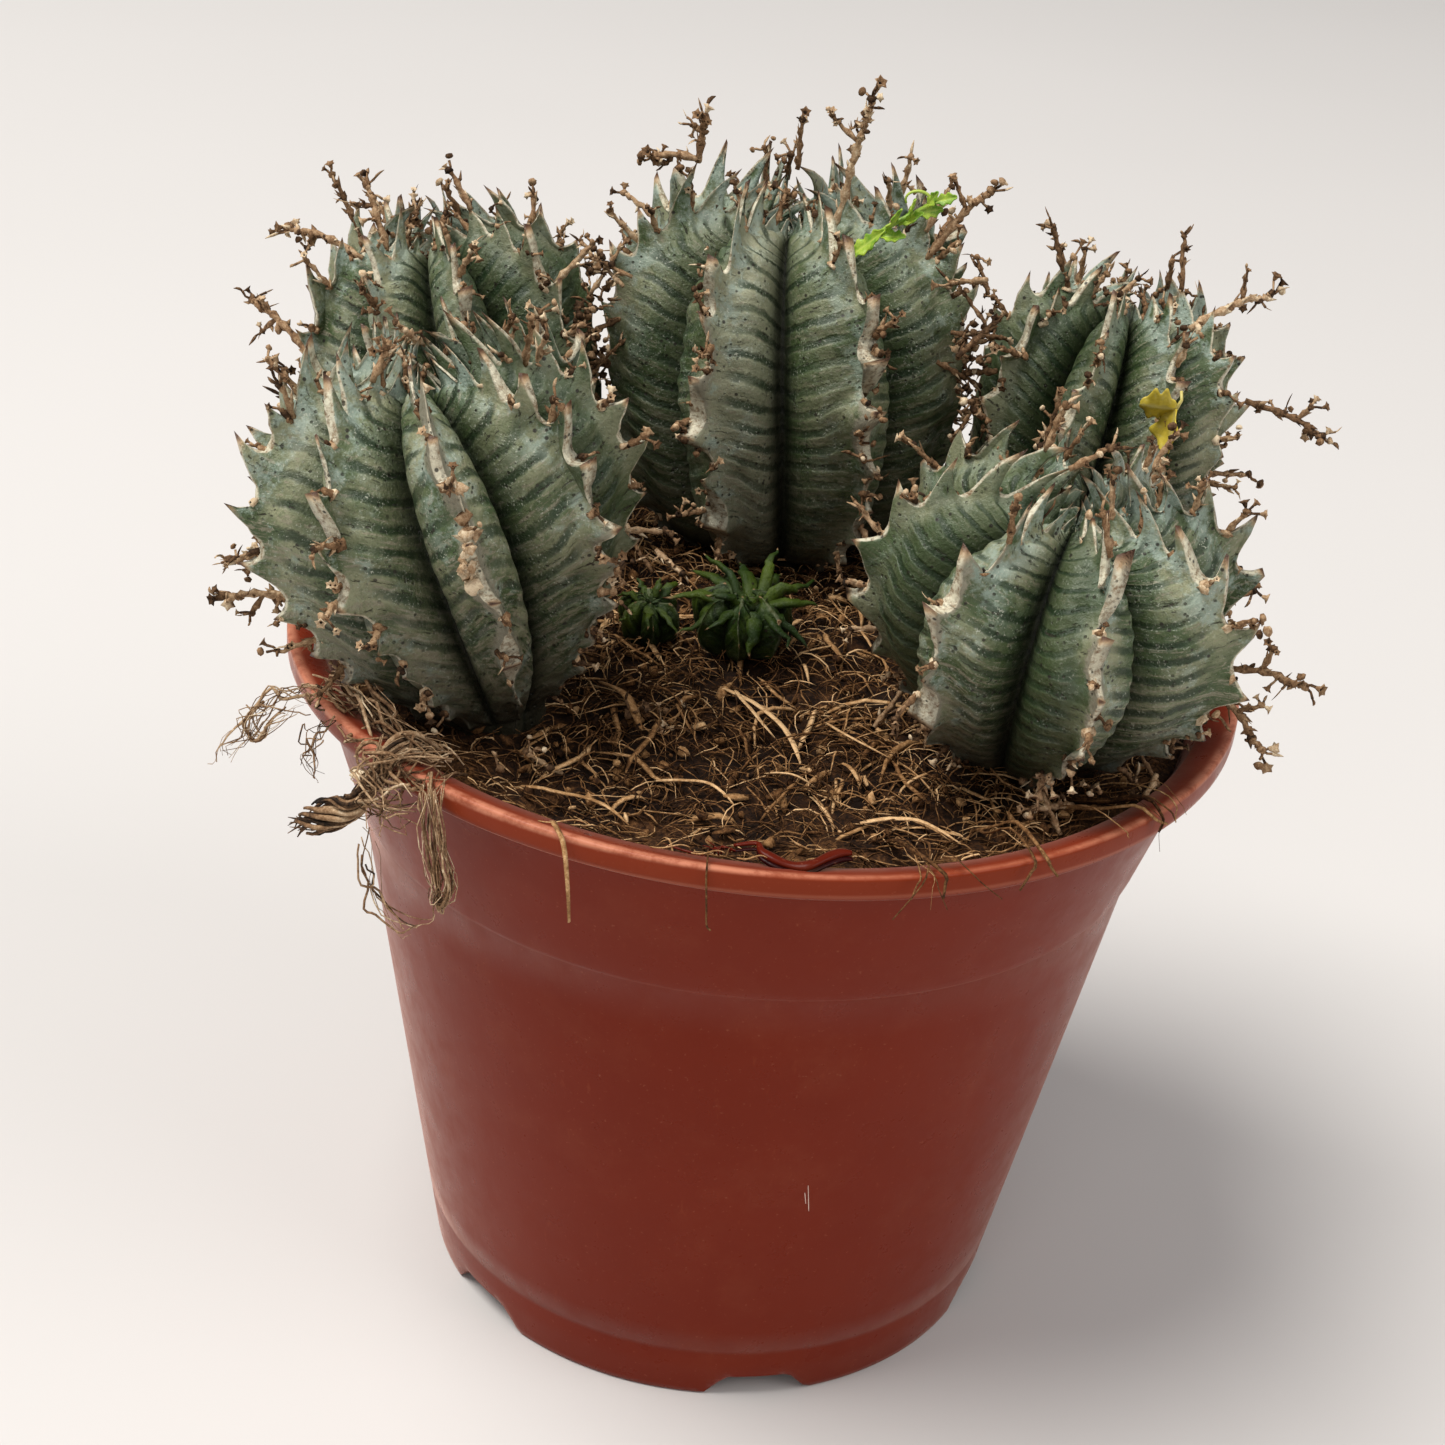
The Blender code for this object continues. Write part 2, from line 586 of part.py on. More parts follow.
def make_stem(name, parts):
    stem = STEMS[name]
    large = name.startswith("stem")
    body = stem_body(name, parts)
    if large:
        stalks = repeats()
        draw = random.Random(SEED + len(name))
        for rib in range(stem["ribs"]):
            for tooth in range(3, stem["teeth"] - 1):
                if (2 * tooth + 3 * rib) % 5 == 0:
                    stalk_stub(name, tooth + 0.9 - 0.5 * (rib % 2), rib, draw, stalks)
        for owner, near, tip in LONG_STALKS:
            if owner == name:
                long_stalk(name, near, tip, stalks)
        fuse(body, stalks)
    colour = STEM_COLOUR if large else OFFSET_COLOUR
    body.data.materials.clear()
    body.data.materials.append(material(f"{name}_skin", colour, 0.6))
    return body


def make_fibre_clump(parts):
    """A dried root with loose strands that hangs over the rim at the front left."""
    core_path = [(-0.0525, -0.0545, 0.1292), (-0.0575, -0.0585, 0.1332), (-0.0625, -0.0630, 0.1322),
                 (-0.0655, -0.0650, 0.1247), (-0.0680, -0.0645, 0.1187), (-0.0715, -0.0625, 0.1152)]
    strands = repeats()
    clump = stick(core_path, [0.0014, 0.0022, 0.0018, 0.0022, 0.0030, 0.0020], parts)
    clump.name = "fibre_clump"
    draw = random.Random(SEED + 1)
    tips = [(-0.076, -0.056, 0.131), (-0.079, -0.052, 0.126), (-0.074, -0.060, 0.123),
            (-0.050, -0.0740, 0.118), (-0.0475, -0.0760, 0.122), (-0.0455, -0.0762, 0.116),
            (-0.058, -0.069, 0.118), (-0.070, -0.054, 0.1375), (-0.052, -0.072, 0.127)]
    start_at = Vector(core_path[2])
    for tip in tips:
        tip = Vector(tip)
        middle = (start_at + tip) / 2
        middle.z = max(start_at.z, tip.z) - 0.0002
        outside = Vector((middle.x, middle.y, 0)).normalized()
        middle += outside * 0.002 + Vector([draw.uniform(-0.001, 0.001) for _ in range(3)])
        stick([start_at, middle, tip], [0.0007, 0.0006, 0.0005], strands)
    fuse(clump, strands)
    clump.data.materials.clear()
    clump.data.materials.append(material("dry_fibre", FIBRE_COLOUR, 0.9))
    return clump


def leaf_blade(centre, way, size, collection):
    """A small flat oval leaf."""
    bm = bmesh.new()
    bmesh.ops.create_icosphere(bm, subdivisions=1, radius=1)
    mesh = bpy.data.meshes.new("blade")
    turn = Vector(way).to_track_quat('X', 'Z').to_matrix().to_4x4()
    scale = Matrix.Diagonal((*size, 1))
    bmesh.ops.transform(bm, matrix=Matrix.Translation(centre) @ turn @ scale, verts=bm.verts)
    bm.to_mesh(mesh)
    bm.free()
    return add_mesh("blade", mesh, collection)


def make_sprout(parts):
    """A small green weed that grows in a furrow near the top of the tallest stem."""
    foot = Vector((0.0100, 0.0260, 0.1925))
    top = Vector((0.0220, 0.0245, 0.2005))
    blades = repeats()
    middle = (foot + top) / 2 + Vector((-0.0005, 0, 0.0006))
    sprout = stick([foot, middle, top], [0.0006, 0.0006, 0.0005], parts)
    sprout.name = "weed_sprout"
    for fraction, way in ((0.1, (-0.6, -0.6, 0.6)), (0.3, (0.6, -0.8, 0.1)), (0.5, (-0.6, -0.5, 0.8)),
                          (0.7, (0.8, -0.6, 0.1)), (0.85, (-0.4, -0.3, 1)), (1.0, (1, 0.0, 0.4))):
        way = Vector(way).normalized()
        leaf_blade(foot.lerp(top, fraction) + way * 0.0021, way, (0.0028, 0.0018, 0.0004), blades)
    fuse(sprout, blades)
    sprout.data.materials.clear()
    sprout.data.materials.append(material("sprout_green", SPROUT_COLOUR, 0.5))
    return sprout


def make_fallen_leaf(parts):
    """A folded yellow leaf that has dropped onto the teeth of the back right stem."""
    bm = bmesh.new()
    bmesh.ops.create_grid(bm, x_segments=4, y_segments=2, size=0.5)
    for vert in bm.verts:
        along = vert.co.x + 0.5
        width = 0.0072 * math.sin(math.pi * min(0.12 + 0.80 * along, 1)) ** 0.7
        fold = abs(vert.co.y) * 0.0035
        vert.co = Vector((0.0085 * (along - 0.5), vert.co.y * width, fold + 0.0012 * math.sin(3 * along)))
    mesh = bpy.data.meshes.new("fallen_leaf")
    bm.to_mesh(mesh)
    bm.free()
    leaf = add_mesh("fallen_leaf", mesh, parts)
    thick = leaf.modifiers.new("thickness", 'SOLIDIFY')
    thick.thickness = 0.0007
    thick.offset = 0
    leaf.location = (0.0668, 0.0165, 0.1720)
    leaf.rotation_euler = (math.radians(62), math.radians(-8), math.radians(14))
    leaf.data.materials.append(material("yellow_leaf", LEAF_COLOUR, 0.6))
    return leaf


def shade(obj):
    obj.data.shade_smooth()
    obj.data.set_sharp_from_angle(angle=math.radians(40))


def main():
    parts, cutters = start()
    made = [make_pot(parts, cutters)]
    soil = make_soil(parts, cutters)
    add_straws(soil)
    made.append(soil)
    for name in STEMS:
        made.append(make_stem(name, parts))
    made.append(make_fibre_clump(parts))
    made.append(make_sprout(parts))
    made.append(make_fallen_leaf(parts))
    for obj in made:
        shade(obj)


main()
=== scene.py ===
import functools
import itertools
import math
import random

import bmesh
import bpy
import numpy as np
from mathutils import Matrix, Vector


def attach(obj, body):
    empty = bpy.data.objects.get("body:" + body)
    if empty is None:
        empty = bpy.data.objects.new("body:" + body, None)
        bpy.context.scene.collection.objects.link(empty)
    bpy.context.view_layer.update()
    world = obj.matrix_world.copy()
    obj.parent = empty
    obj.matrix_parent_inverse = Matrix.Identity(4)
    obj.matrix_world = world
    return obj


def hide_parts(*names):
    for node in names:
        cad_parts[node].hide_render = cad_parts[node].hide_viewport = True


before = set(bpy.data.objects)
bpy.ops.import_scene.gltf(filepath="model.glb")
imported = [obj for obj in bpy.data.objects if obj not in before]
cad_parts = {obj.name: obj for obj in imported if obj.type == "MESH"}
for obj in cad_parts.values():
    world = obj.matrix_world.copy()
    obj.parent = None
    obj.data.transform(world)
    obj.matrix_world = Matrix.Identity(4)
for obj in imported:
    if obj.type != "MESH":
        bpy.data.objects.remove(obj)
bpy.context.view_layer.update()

SEED = 11
BODY = "root"

# Camera: where it stands, its tilt, turn and roll, and its lens on a 36 mm square sensor.
CAMERA_PLACE = (0.0, -0.39261, 0.31505)
CAMERA_PITCH = 0.478876
CAMERA_YAW = -0.015599
CAMERA_ROLL = 0.09428
CAMERA_LENS = 59.79

# Lights: place, point aimed at, size in metres, power in watts and colour.
LIGHTS = {
    "key_light": ((-1.45, -0.40, 3.30), (0, 0, 0.12), 2.2, 152, (1.0, 0.97, 0.93)),
    "side_light": ((2.0, -0.9, 1.9), (0, 0, 0.12), 1.8, 24, (1.0, 0.96, 0.93)),
    "front_light": ((-0.4, -2.4, 1.9), (0, 0, 0.10), 1.6, 11, (1.0, 0.97, 0.94)),
}
SURROUND_COLOUR = (0.97, 0.97, 1.0)
SURROUND_STRENGTH = 0.30
FLOOR_COLOURS = ((0.62, 0.605, 0.59), (0.65, 0.635, 0.62))

# Pot, as in the CAD model.
RIM_RADIUS = 0.085
RIM_TOP = 0.131
FLANGE_HEIGHT = 0.0042
SHOULDER_RADIUS = 0.0806
SHOULDER_FOOT_RADIUS = 0.0726
SHOULDER_FOOT = 0.100
STEP_WIDTH = 0.0009
FOOT_RADIUS = 0.0551
FOOT_RING_WIDTH = 0.0024
WALL = 0.002
FLOOR_UNDERSIDE = 0.0056
LAND_RADIUS = 0.079
LAND_HEIGHT = 0.129
LIP_RADIUS = 0.0776
LIP_HEIGHT = 0.1255
NOTCH_COUNT = 6
NOTCH_FIRST = math.radians(13)
NOTCH_TOP_WIDTH = 0.0115
NOTCH_GROUND_WIDTH = 0.020
NOTCH_HEIGHT = 0.0046
DRAIN_RADIUS = 0.0045
DRAIN_CIRCLE = 0.036

# Rounded edges of the pot, rings of its floor and of its wall, a fine groove, and how many sides it has.
FLOOR_CORNER = 0.0015
RIM_ROUND = 0.0006
EDGE_ROUND = 0.0004
FLOOR_RINGS = (0.008, 0.030)
WALL_HEIGHTS = (0.09, 0.075, 0.06, 0.045, 0.03, 0.0175, 0.0122, 0.0119, 0.0110, 0.0107, 0.0085, 0.0062,
                0.0045, 0.003, 0.0015, 0.0004)
GROOVE_DEPTH = 0.00022
GROOVE_LOW = 0.0105
GROOVE_HIGH = 0.0120
POT_SIDES = 240

# Soil, as in the CAD model.
SOIL_EDGE_RADIUS = 0.0766
SOIL_EDGE_HEIGHT = 0.1262
SOIL_MOUND = 0.0018
SOIL_CLEARANCE = 0.0005

# The soil's grid, how many pieces of each kind lie on it, and the outline of a crumb.
SOIL_RINGS = 84
SOIL_SIDES = 160
FIBRE_COUNT = 4700
STRAW_COUNT = 260
CHIP_COUNT = 380
CRUMB_COUNT = 520
CRUMB = [(0, -0.8), (0.7, -0.5), (1.0, 0.1), (0.6, 0.7), (0, 0.9)]

# How far out straws and crumbs lie, the edge of the soil where strands lie lower, and where they run along
# the edge.
STRAW_REACH = 0.0752
CRUMB_REACH = 0.073
EDGE_START = 0.060
EDGE_WIDTH = 0.012
EDGE_TURN = 0.066

# Larger straws and strips seen on the soil: ends, bow, half-width, flatness and tone.
STRAWS = [
    ((-0.0065, -0.0210), (0.0080, -0.0460), 0.10, 0.00085, 0.35, 0.98),
    ((-0.0040, -0.0225), (0.0035, -0.0360), -0.10, 0.00060, 0.35, 0.92),
    ((0.0024, -0.0500), (0.0106, -0.0520), -0.12, 0.00075, 0.30, 0.90),
    ((-0.0272, -0.0250), (-0.0188, -0.0416), 0.05, 0.00130, 0.22, 0.62),
    ((-0.0230, -0.0050), (-0.0180, -0.0110), 0.05, 0.00110, 0.30, 0.75),
    ((-0.0150, -0.0560), (-0.0020, -0.0620), 0.12, 0.00050, 0.45, 0.85),
    ((0.0120, -0.0300), (0.0230, -0.0420), -0.15, 0.00055, 0.40, 0.80),
    ((-0.0360, -0.0620), (-0.0180, -0.0690), 0.10, 0.00060, 0.40, 0.70),
    ((0.0180, -0.0620), (0.0340, -0.0640), 0.14, 0.00060, 0.40, 0.88),
]

# Torn, rolled sliver on the rim's inner land: its course, and the crack beside it.
SLIVER = [(-0.0015, -0.0770), (0.0020, -0.0765), (0.0030, -0.0785), (0.0060, -0.0800), (0.0090, -0.0805),
          (0.0110, -0.0800), (0.0140, -0.0775), (0.0165, -0.0770)]
CRACK = [(-0.0120, -0.0790), (-0.0085, -0.0805), (-0.0050, -0.0815)]

# Scratches low on the wall: where each starts and ends, along X and up, in millimetres.
SCRATCHES = [((17.0, 56.0), (17.7, 49.5)), ((16.6, 54.2), (17.0, 51.5))]

# Lots of straws and root hairs over the rim: the angle, how far out and down they reach, and how many.
RIM_LOTS = [(-1.22, 0.0865, 0.0085, 6), (-1.00, 0.0865, 0.0045, 2), (-0.66, 0.0865, 0.0050, 5),
            (-0.76, 0.0862, 0.0030, 2)]

# A hair and a straw that hang over the rim at the front, and hairs along it: middle and length of each.
HANGING_HAIR = [(-0.0052, -0.0800, 0.1312), (-0.0051, -0.0848, 0.1314), (-0.0050, -0.0855, 0.1290),
                (-0.0046, -0.0856, 0.1245), (-0.0043, -0.0858, 0.1212), (-0.0036, -0.0862, 0.1206)]
HANGING_STRAW = [(-0.0290, -0.0790, 0.1325), (-0.0268, -0.0840, 0.1318), (-0.0255, -0.0868, 0.1260),
                 (-0.0250, -0.0862, 0.1195)]
LYING_HAIRS = [(-0.0110, 0.0060), (-0.0052, 0.0050), (0.0015, 0.0045), (-0.0280, 0.0070), (0.0330, 0.0050)]

# Stems, as in the CAD model: radius and height fractions of a rib's crest and of the furrow beside it.
CONE_CREST = [(0.27, 0.02), (0.45, 0.11), (0.70, 0.27), (0.91, 0.47), (0.995, 0.66),
              (0.90, 0.84), (0.69, 0.95), (0.42, 0.99), (0.18, 0.955), (0.0, 0.915)]
BARREL_CREST = [(0.29, 0.02), (0.60, 0.08), (0.86, 0.23), (0.98, 0.44), (1.0, 0.65),
                (0.90, 0.84), (0.69, 0.95), (0.42, 0.99), (0.18, 0.955), (0.0, 0.915)]
FURROW = [(0.26, 0.02), (0.29, 0.08), (0.38, 0.22), (0.45, 0.40), (0.46, 0.58),
          (0.39, 0.74), (0.27, 0.85), (0.16, 0.895), (0.07, 0.91), (0.0, 0.915)]
NECK_FRACTION = 0.26
NECK_DEPTH = 0.006
NEIGHBOUR_GAP = 0.0005

# Stems keep a gap inside the pot's lip, and lean out over it only from some way above it, at a slope.
LIP_GAP = 0.0011
OVERHANG_START = 0.0030
OVERHANG_SLOPE = 0.42

# Finer shape of the stems: teeth to a rib, rows to a tooth, columns to half a rib, and a rib's cross-section.
FINE_TEETH = {"stem_front_left": 14, "stem_back_left": 12, "stem_centre": 14, "stem_back_right": 12,
              "stem_front_right": 11, "offset_large": 4, "offset_small": 3}
ROWS = 10
HALF_COLUMNS = 18
OFFSET_HALF_COLUMNS = 9
COLUMN_CROWDING = 1.6
MARGIN_RISE = 0.12
MARGIN_WIDTH = 0.07
MARGIN_ROUND = 0.02
CHEEK_SLOPE = 0.14
CHEEK_BULGE = 0.74
BLADE_HALF = 0.0010

# Distance between the dark bands along each stem's crests.
BAND_SPACING = {"stem_front_left": 0.0046, "stem_back_left": 0.0040, "stem_centre": 0.0042,
                "stem_back_right": 0.0035, "stem_front_right": 0.0036,
                "offset_large": 0.0040, "offset_small": 0.0040}

# How far a tooth stands out, as a share of the stem's radius, at places up the rib.
TOOTH_HEIGHTS = [(0.05, 0.03), (0.20, 0.07), (0.35, 0.12), (0.55, 0.17), (0.70, 0.22), (0.80, 0.28),
                 (0.88, 0.31), (0.94, 0.26), (1.0, 0.08)]

# Ribs with a broad pale corky crest: how far it spreads across the rib, and where it starts and ends up it.
CORKY = {
    "stem_front_left": {0: (0.15, 0.16, 0.82), 1: (0.05, 0.1, 0.5)},
    "stem_centre": {0: (0.05, 0.3, 0.6), 1: (0.06, 0.25, 0.6)},
    "stem_front_right": {0: (0.045, 0.2, 0.8), 1: (0.06, 0.2, 0.7)},
}

# Cheeks painted a fresher, darker green, partly painted shade between the stems, 1, or a paler grey-olive,
# down to -0.4: the rib, and the side before or after its crest.
CHEEKS = {
    "stem_centre": {(0, 1): -0.4, (1, -1): 0.45},
    "stem_front_right": {(1, -1): 1.0, (0, -1): 0.1, (7, 1): 0.9},
    "stem_back_left": {(2, -1): 1.0, (1, 1): 1.0, (3, -1): 1.0, (2, 1): 1.0},
    "stem_back_right": {(8, 1): 1.0, (7, 1): 0.8, (0, -1): 1.0, (8, -1): 0.9},
    "stem_front_left": {(1, 1): 1.0, (2, -1): 0.95, (2, 1): 0.8},
}

# Values at a stem's points that its material reads.
SKIN_VALUES = ("across", "band", "height", "horn", "cork", "margin", "inner")

# Horn tips of the young offsets.
OFFSET_TIPS = {
    "offset_large": [
        (-0.0125, 0.0005, 0.1445), (-0.0052, 0.0010, 0.1422), (0.0006, 0.0020, 0.1462),
        (0.0052, -0.0030, 0.1408), (0.0092, -0.0070, 0.1394), (0.0052, -0.0150, 0.1338),
        (-0.0021, -0.0165, 0.1328), (-0.0105, -0.0145, 0.1362), (-0.0112, -0.0110, 0.1415),
        (-0.0185, -0.0070, 0.1385), (-0.0150, 0.0030, 0.1400), (0.0085, 0.0030, 0.1400),
        (-0.0060, 0.0075, 0.1405), (0.0020, 0.0070, 0.1390), (0.0085, -0.0120, 0.1330),
        (-0.0160, -0.0120, 0.1335)],
    "offset_small": [
        (-0.0194, -0.0010, 0.1392), (-0.0262, -0.0080, 0.1330), (-0.0150, -0.0110, 0.1328),
        (-0.0275, -0.0030, 0.1360), (-0.0205, -0.0115, 0.1340), (-0.0240, 0.0030, 0.1370),
        (-0.0160, 0.0020, 0.1375)],
}

STEMS = {
    "stem_front_left": dict(foot=(-0.044, -0.036), lean=(-0.24, 0.02), radius=0.031, height=0.061, horn=0.17,
                            ribs=9, phase=-75, teeth=11, barrel=0.1, twist=-36, widen=0),
    "stem_back_left": dict(foot=(-0.052, 0.033), lean=(-0.28, 0.08), radius=0.0275, height=0.062, horn=0.12,
                           ribs=9, phase=-112, teeth=10, barrel=0.4, twist=-5, widen=0),
    "stem_centre": dict(foot=(0.0005, 0.0455), lean=(-0.05, 0.0), radius=0.0355, height=0.069, horn=0.12,
                        ribs=8, phase=-113, teeth=12, barrel=0.9, twist=-14, widen=0.12),
    "stem_back_right": dict(foot=(0.0545, 0.037), lean=(0.11, 0.08), radius=0.0245, height=0.061, horn=0.13,
                            ribs=9, phase=-110, teeth=10, barrel=0.4, twist=8, widen=0),
    "stem_front_right": dict(foot=(0.044, -0.029), lean=(0.07, -0.18), radius=0.0315, height=0.050, horn=0.17,
                             ribs=8, phase=-127, teeth=9, barrel=0.15, twist=0, widen=0.16),
    "offset_large": dict(foot=(-0.0045, -0.005), lean=(0.0, -0.1), radius=0.0095, height=0.0125, horn=0.17,
                         ribs=7, phase=-90, teeth=4, barrel=0.9, twist=0, widen=0),
    "offset_small": dict(foot=(-0.021, -0.003), lean=(0.0, -0.1), radius=0.006, height=0.009, horn=0.17,
                         ribs=6, phase=-80, teeth=3, barrel=0.9, twist=0, widen=0),
}
LARGE = [name for name in STEMS if name.startswith("stem")]

# Profiles of a dry flower cup and of a knob, as shares of their size: radius and height.
CUP = [(0, 0), (0.26, 0.02), (0.42, 0.35), (0.50, 0.70), (1.0, 1.10), (0.90, 1.16), (0.36, 0.70), (0, 0.55)]
KNOB = [(0, -0.6), (0.55, -0.45), (1.0, 0.0), (0.7, 0.55), (0, 0.75)]

# A crest crowded with corky knobs: the rib, where they start and end up it in teeth, and how many.
KNOBBLY = {"stem_front_left": (0, 5.6, 7.4, 14)}

# Crests crusted with old flowers: the ribs, where the crust starts and ends up them in teeth, and how
# many bits.
CRUSTS = {
    "stem_centre": [(0, 2.0, 8.5, 16), (1, 1.0, 8.5, 24), (2, 3.0, 11.0, 14)],
    "stem_back_right": [(8, 3.0, 10.0, 10), (0, 5.0, 11.0, 8), (7, 3.0, 10.0, 8)],
    "stem_back_left": [(0, 5.0, 11.0, 10), (1, 4.0, 11.0, 12), (2, 4.0, 11.0, 10)],
    "stem_front_left": [(1, 1.0, 6.0, 10), (8, 1.5, 6.0, 8), (7, 1.5, 7.0, 8)],
    "stem_front_right": [(0, 0.8, 4.0, 8), (1, 0.8, 5.0, 14), (2, 1.5, 7.0, 10), (7, 2.0, 7.0, 6)],
}

# Dried bits caught between the stems and at their feet: the middle of each lot, its spread and how many.
DEBRIS = [
    ((-0.0380, 0.030, 0.188), 0.0035, 6), ((-0.0375, 0.030, 0.178), 0.0035, 6),
    ((0.0300, 0.030, 0.188), 0.0030, 5), ((0.0325, 0.029, 0.178), 0.0035, 8),
    ((0.0350, 0.028, 0.166), 0.0035, 7), ((0.0380, 0.024, 0.156), 0.0030, 5),
    ((-0.0220, 0.020, 0.1305), 0.0050, 7), ((0.0526, -0.0480, 0.1290), 0.0040, 5),
    ((0.0620, -0.0400, 0.1290), 0.0040, 5), ((-0.0350, -0.0560, 0.1290), 0.0050, 5),
    ((-0.0200, -0.0350, 0.1290), 0.0050, 5), ((0.0250, -0.0250, 0.1290), 0.0050, 5),
    ((-0.0368, 0.034, 0.1855), 0.0022, 5), ((-0.0365, 0.034, 0.1790), 0.0022, 6),
    ((-0.0361, 0.034, 0.1725), 0.0022, 6), ((-0.0357, 0.034, 0.1660), 0.0022, 6),
    ((-0.0354, 0.034, 0.1600), 0.0020, 5), ((0.0325, 0.034, 0.1785), 0.0024, 5),
    ((0.0327, 0.034, 0.1725), 0.0024, 6), ((0.0326, 0.034, 0.1665), 0.0022, 5),
]

# Long dried flower stalks, as in the CAD model: the stem, a point near the root and the tip.
LONG_STALKS = [
    ("stem_centre", (-0.0195, 0.041, 0.193), (-0.0201, 0.040, 0.2119)),
    ("stem_centre", (-0.0200, 0.041, 0.201), (-0.0286, 0.040, 0.2044)),
    ("stem_centre", (0.0080, 0.041, 0.193), (0.0095, 0.040, 0.2181)),
    ("stem_centre", (0.0210, 0.041, 0.190), (0.0324, 0.040, 0.2040)),
    ("stem_back_left", (-0.0740, 0.038, 0.180), (-0.0807, 0.038, 0.1942)),
    ("stem_back_left", (-0.0800, 0.037, 0.172), (-0.0945, 0.036, 0.1854)),
    ("stem_back_left", (-0.0840, 0.036, 0.162), (-0.1014, 0.036, 0.1709)),
    ("stem_back_right", (0.0720, 0.042, 0.173), (0.0863, 0.042, 0.1892)),
    ("stem_back_right", (0.0820, 0.042, 0.163), (0.1012, 0.042, 0.1629)),
    ("stem_front_right", (0.0720, -0.034, 0.151), (0.0892, -0.034, 0.1467)),
    ("stem_front_right", (0.0700, -0.034, 0.143), (0.0845, -0.034, 0.1340)),
    ("stem_front_left", (-0.0780, -0.034, 0.150), (-0.0893, -0.034, 0.1496)),
    ("stem_front_left", (-0.0760, -0.034, 0.143), (-0.0904, -0.034, 0.1431)),
]

# The dried root over the rim: its course, its thickness along it, and a broken end on it.
ROOT_COURSE = [(-0.0500, -0.0560, 0.1295), (-0.0545, -0.0610, 0.1335), (-0.0585, -0.0655, 0.1300),
               (-0.0615, -0.0660, 0.1245), (-0.0655, -0.0645, 0.1215), (-0.0710, -0.0620, 0.1175)]
ROOT_GIRTH = [(0, 0.0012), (0.25, 0.0015), (0.45, 0.0012), (0.65, 0.0018), (0.85, 0.0026), (0.96, 0.0024),
              (1.0, 0.0013)]
ROOT_CHIP = [(-0.0625, -0.0640, 0.1290), (-0.0608, -0.0652, 0.1293), (-0.0590, -0.0660, 0.1288)]

# Loose strands round the dried root: how many, how far they stray, and their course.
ROOT_STRANDS = [
    (17, 0.0010, [(-0.0500, -0.0620, 0.1318), (-0.0497, -0.0712, 0.1312), (-0.0492, -0.0732, 0.1245),
                  (-0.0470, -0.0745, 0.1170), (-0.0466, -0.0748, 0.1128), (-0.0452, -0.0750, 0.1165),
                  (-0.0466, -0.0738, 0.1240), (-0.0474, -0.0722, 0.1305), (-0.0470, -0.0640, 0.1320)]),
    (7, 0.0012, [(-0.0600, -0.0665, 0.1235), (-0.0592, -0.0680, 0.1150), (-0.0570, -0.0690, 0.1085),
                 (-0.0510, -0.0720, 0.1062), (-0.0470, -0.0745, 0.1115)]),
    (11, 0.0016, [(-0.0640, -0.0500, 0.1325), (-0.0730, -0.0480, 0.1335), (-0.0800, -0.0475, 0.1310),
                  (-0.0850, -0.0490, 0.1240), (-0.0870, -0.0500, 0.1180)]),
    (9, 0.0010, [(-0.0760, -0.0480, 0.1335), (-0.0830, -0.0480, 0.1290), (-0.0815, -0.0495, 0.1255),
                 (-0.0770, -0.0510, 0.1300), (-0.0740, -0.0500, 0.1330)]),
    (8, 0.0013, [(-0.0660, -0.0540, 0.1330), (-0.0705, -0.0555, 0.1290), (-0.0700, -0.0570, 0.1220)]),
    (18, 0.0022, [(-0.0740, -0.0400, 0.1322), (-0.0650, -0.0470, 0.1335), (-0.0560, -0.0560, 0.1322),
                  (-0.0480, -0.0610, 0.1315)]),
    (26, 0.0026, [(-0.0450, -0.0620, 0.1312), (-0.0520, -0.0655, 0.1330), (-0.0590, -0.0655, 0.1300),
                  (-0.0560, -0.0700, 0.1270), (-0.0500, -0.0722, 0.1285)]),
]

# The weed: its foot, its top, and its leaves, by how far up each grows, its way and its length.
WEED_FOOT = (0.0075, 0.0235, 0.1935)
WEED_TOP = (0.0220, 0.0245, 0.2050)
WEED_LEAVES = [(0.0, (0.70, -0.15, 0.62), 0.0092), (0.10, (-0.4, -0.8, 0.3), 0.0034),
               (0.40, (0.9, -0.4, 0.1), 0.0048), (0.48, (0.4, -0.5, 0.8), 0.0058),
               (0.60, (0.9, -0.3, 0.5), 0.0052), (0.70, (0.3, -0.5, 0.9), 0.0048),
               (0.80, (0.9, 0.2, 0.2), 0.0046), (0.92, (0.5, -0.3, 0.9), 0.0036),
               (1.0, (0.9, -0.1, 0.3), 0.0040)]
WEED_LONG_LEAF = 0.008
WEED_THICKNESS = 0.00022

# The fallen leaf: where its halves join, and for each its way, roll and shape.
LEAF_JOINT = (0.0680, 0.0125, 0.1757)
LEAF_HALVES = [
    ((-1.0, -0.10, 0.02), 1.25, dict(length=0.0064, width=0.0062, lobes=3, curl=0.10, fold=0.30)),
    ((0.05, -0.30, -1.0), 1.35, dict(length=0.0078, width=0.0082, lobes=2, curl=0.10, fold=0.45)),
]
LEAF_THICKNESS = 0.00025

# Colours of soil and of dry stalks, from dark tones to pale ones.
SOIL_STOPS = [(0.0, (0.009, 0.004, 0.002)), (0.2, (0.037, 0.015, 0.005)), (0.42, (0.135, 0.061, 0.021)),
              (0.68, (0.36, 0.195, 0.080)), (1.0, (0.76, 0.50, 0.26))]
DRY_STOPS = [(0.0, (0.012, 0.007, 0.004)), (0.25, (0.070, 0.037, 0.018)), (0.5, (0.23, 0.130, 0.065)),
             (0.75, (0.46, 0.310, 0.180)), (1.0, (0.78, 0.64, 0.44))]
SCRATCH_STOPS = [(0, (0.4, 0.2, 0.15)), (1, (0.7, 0.5, 0.42))]

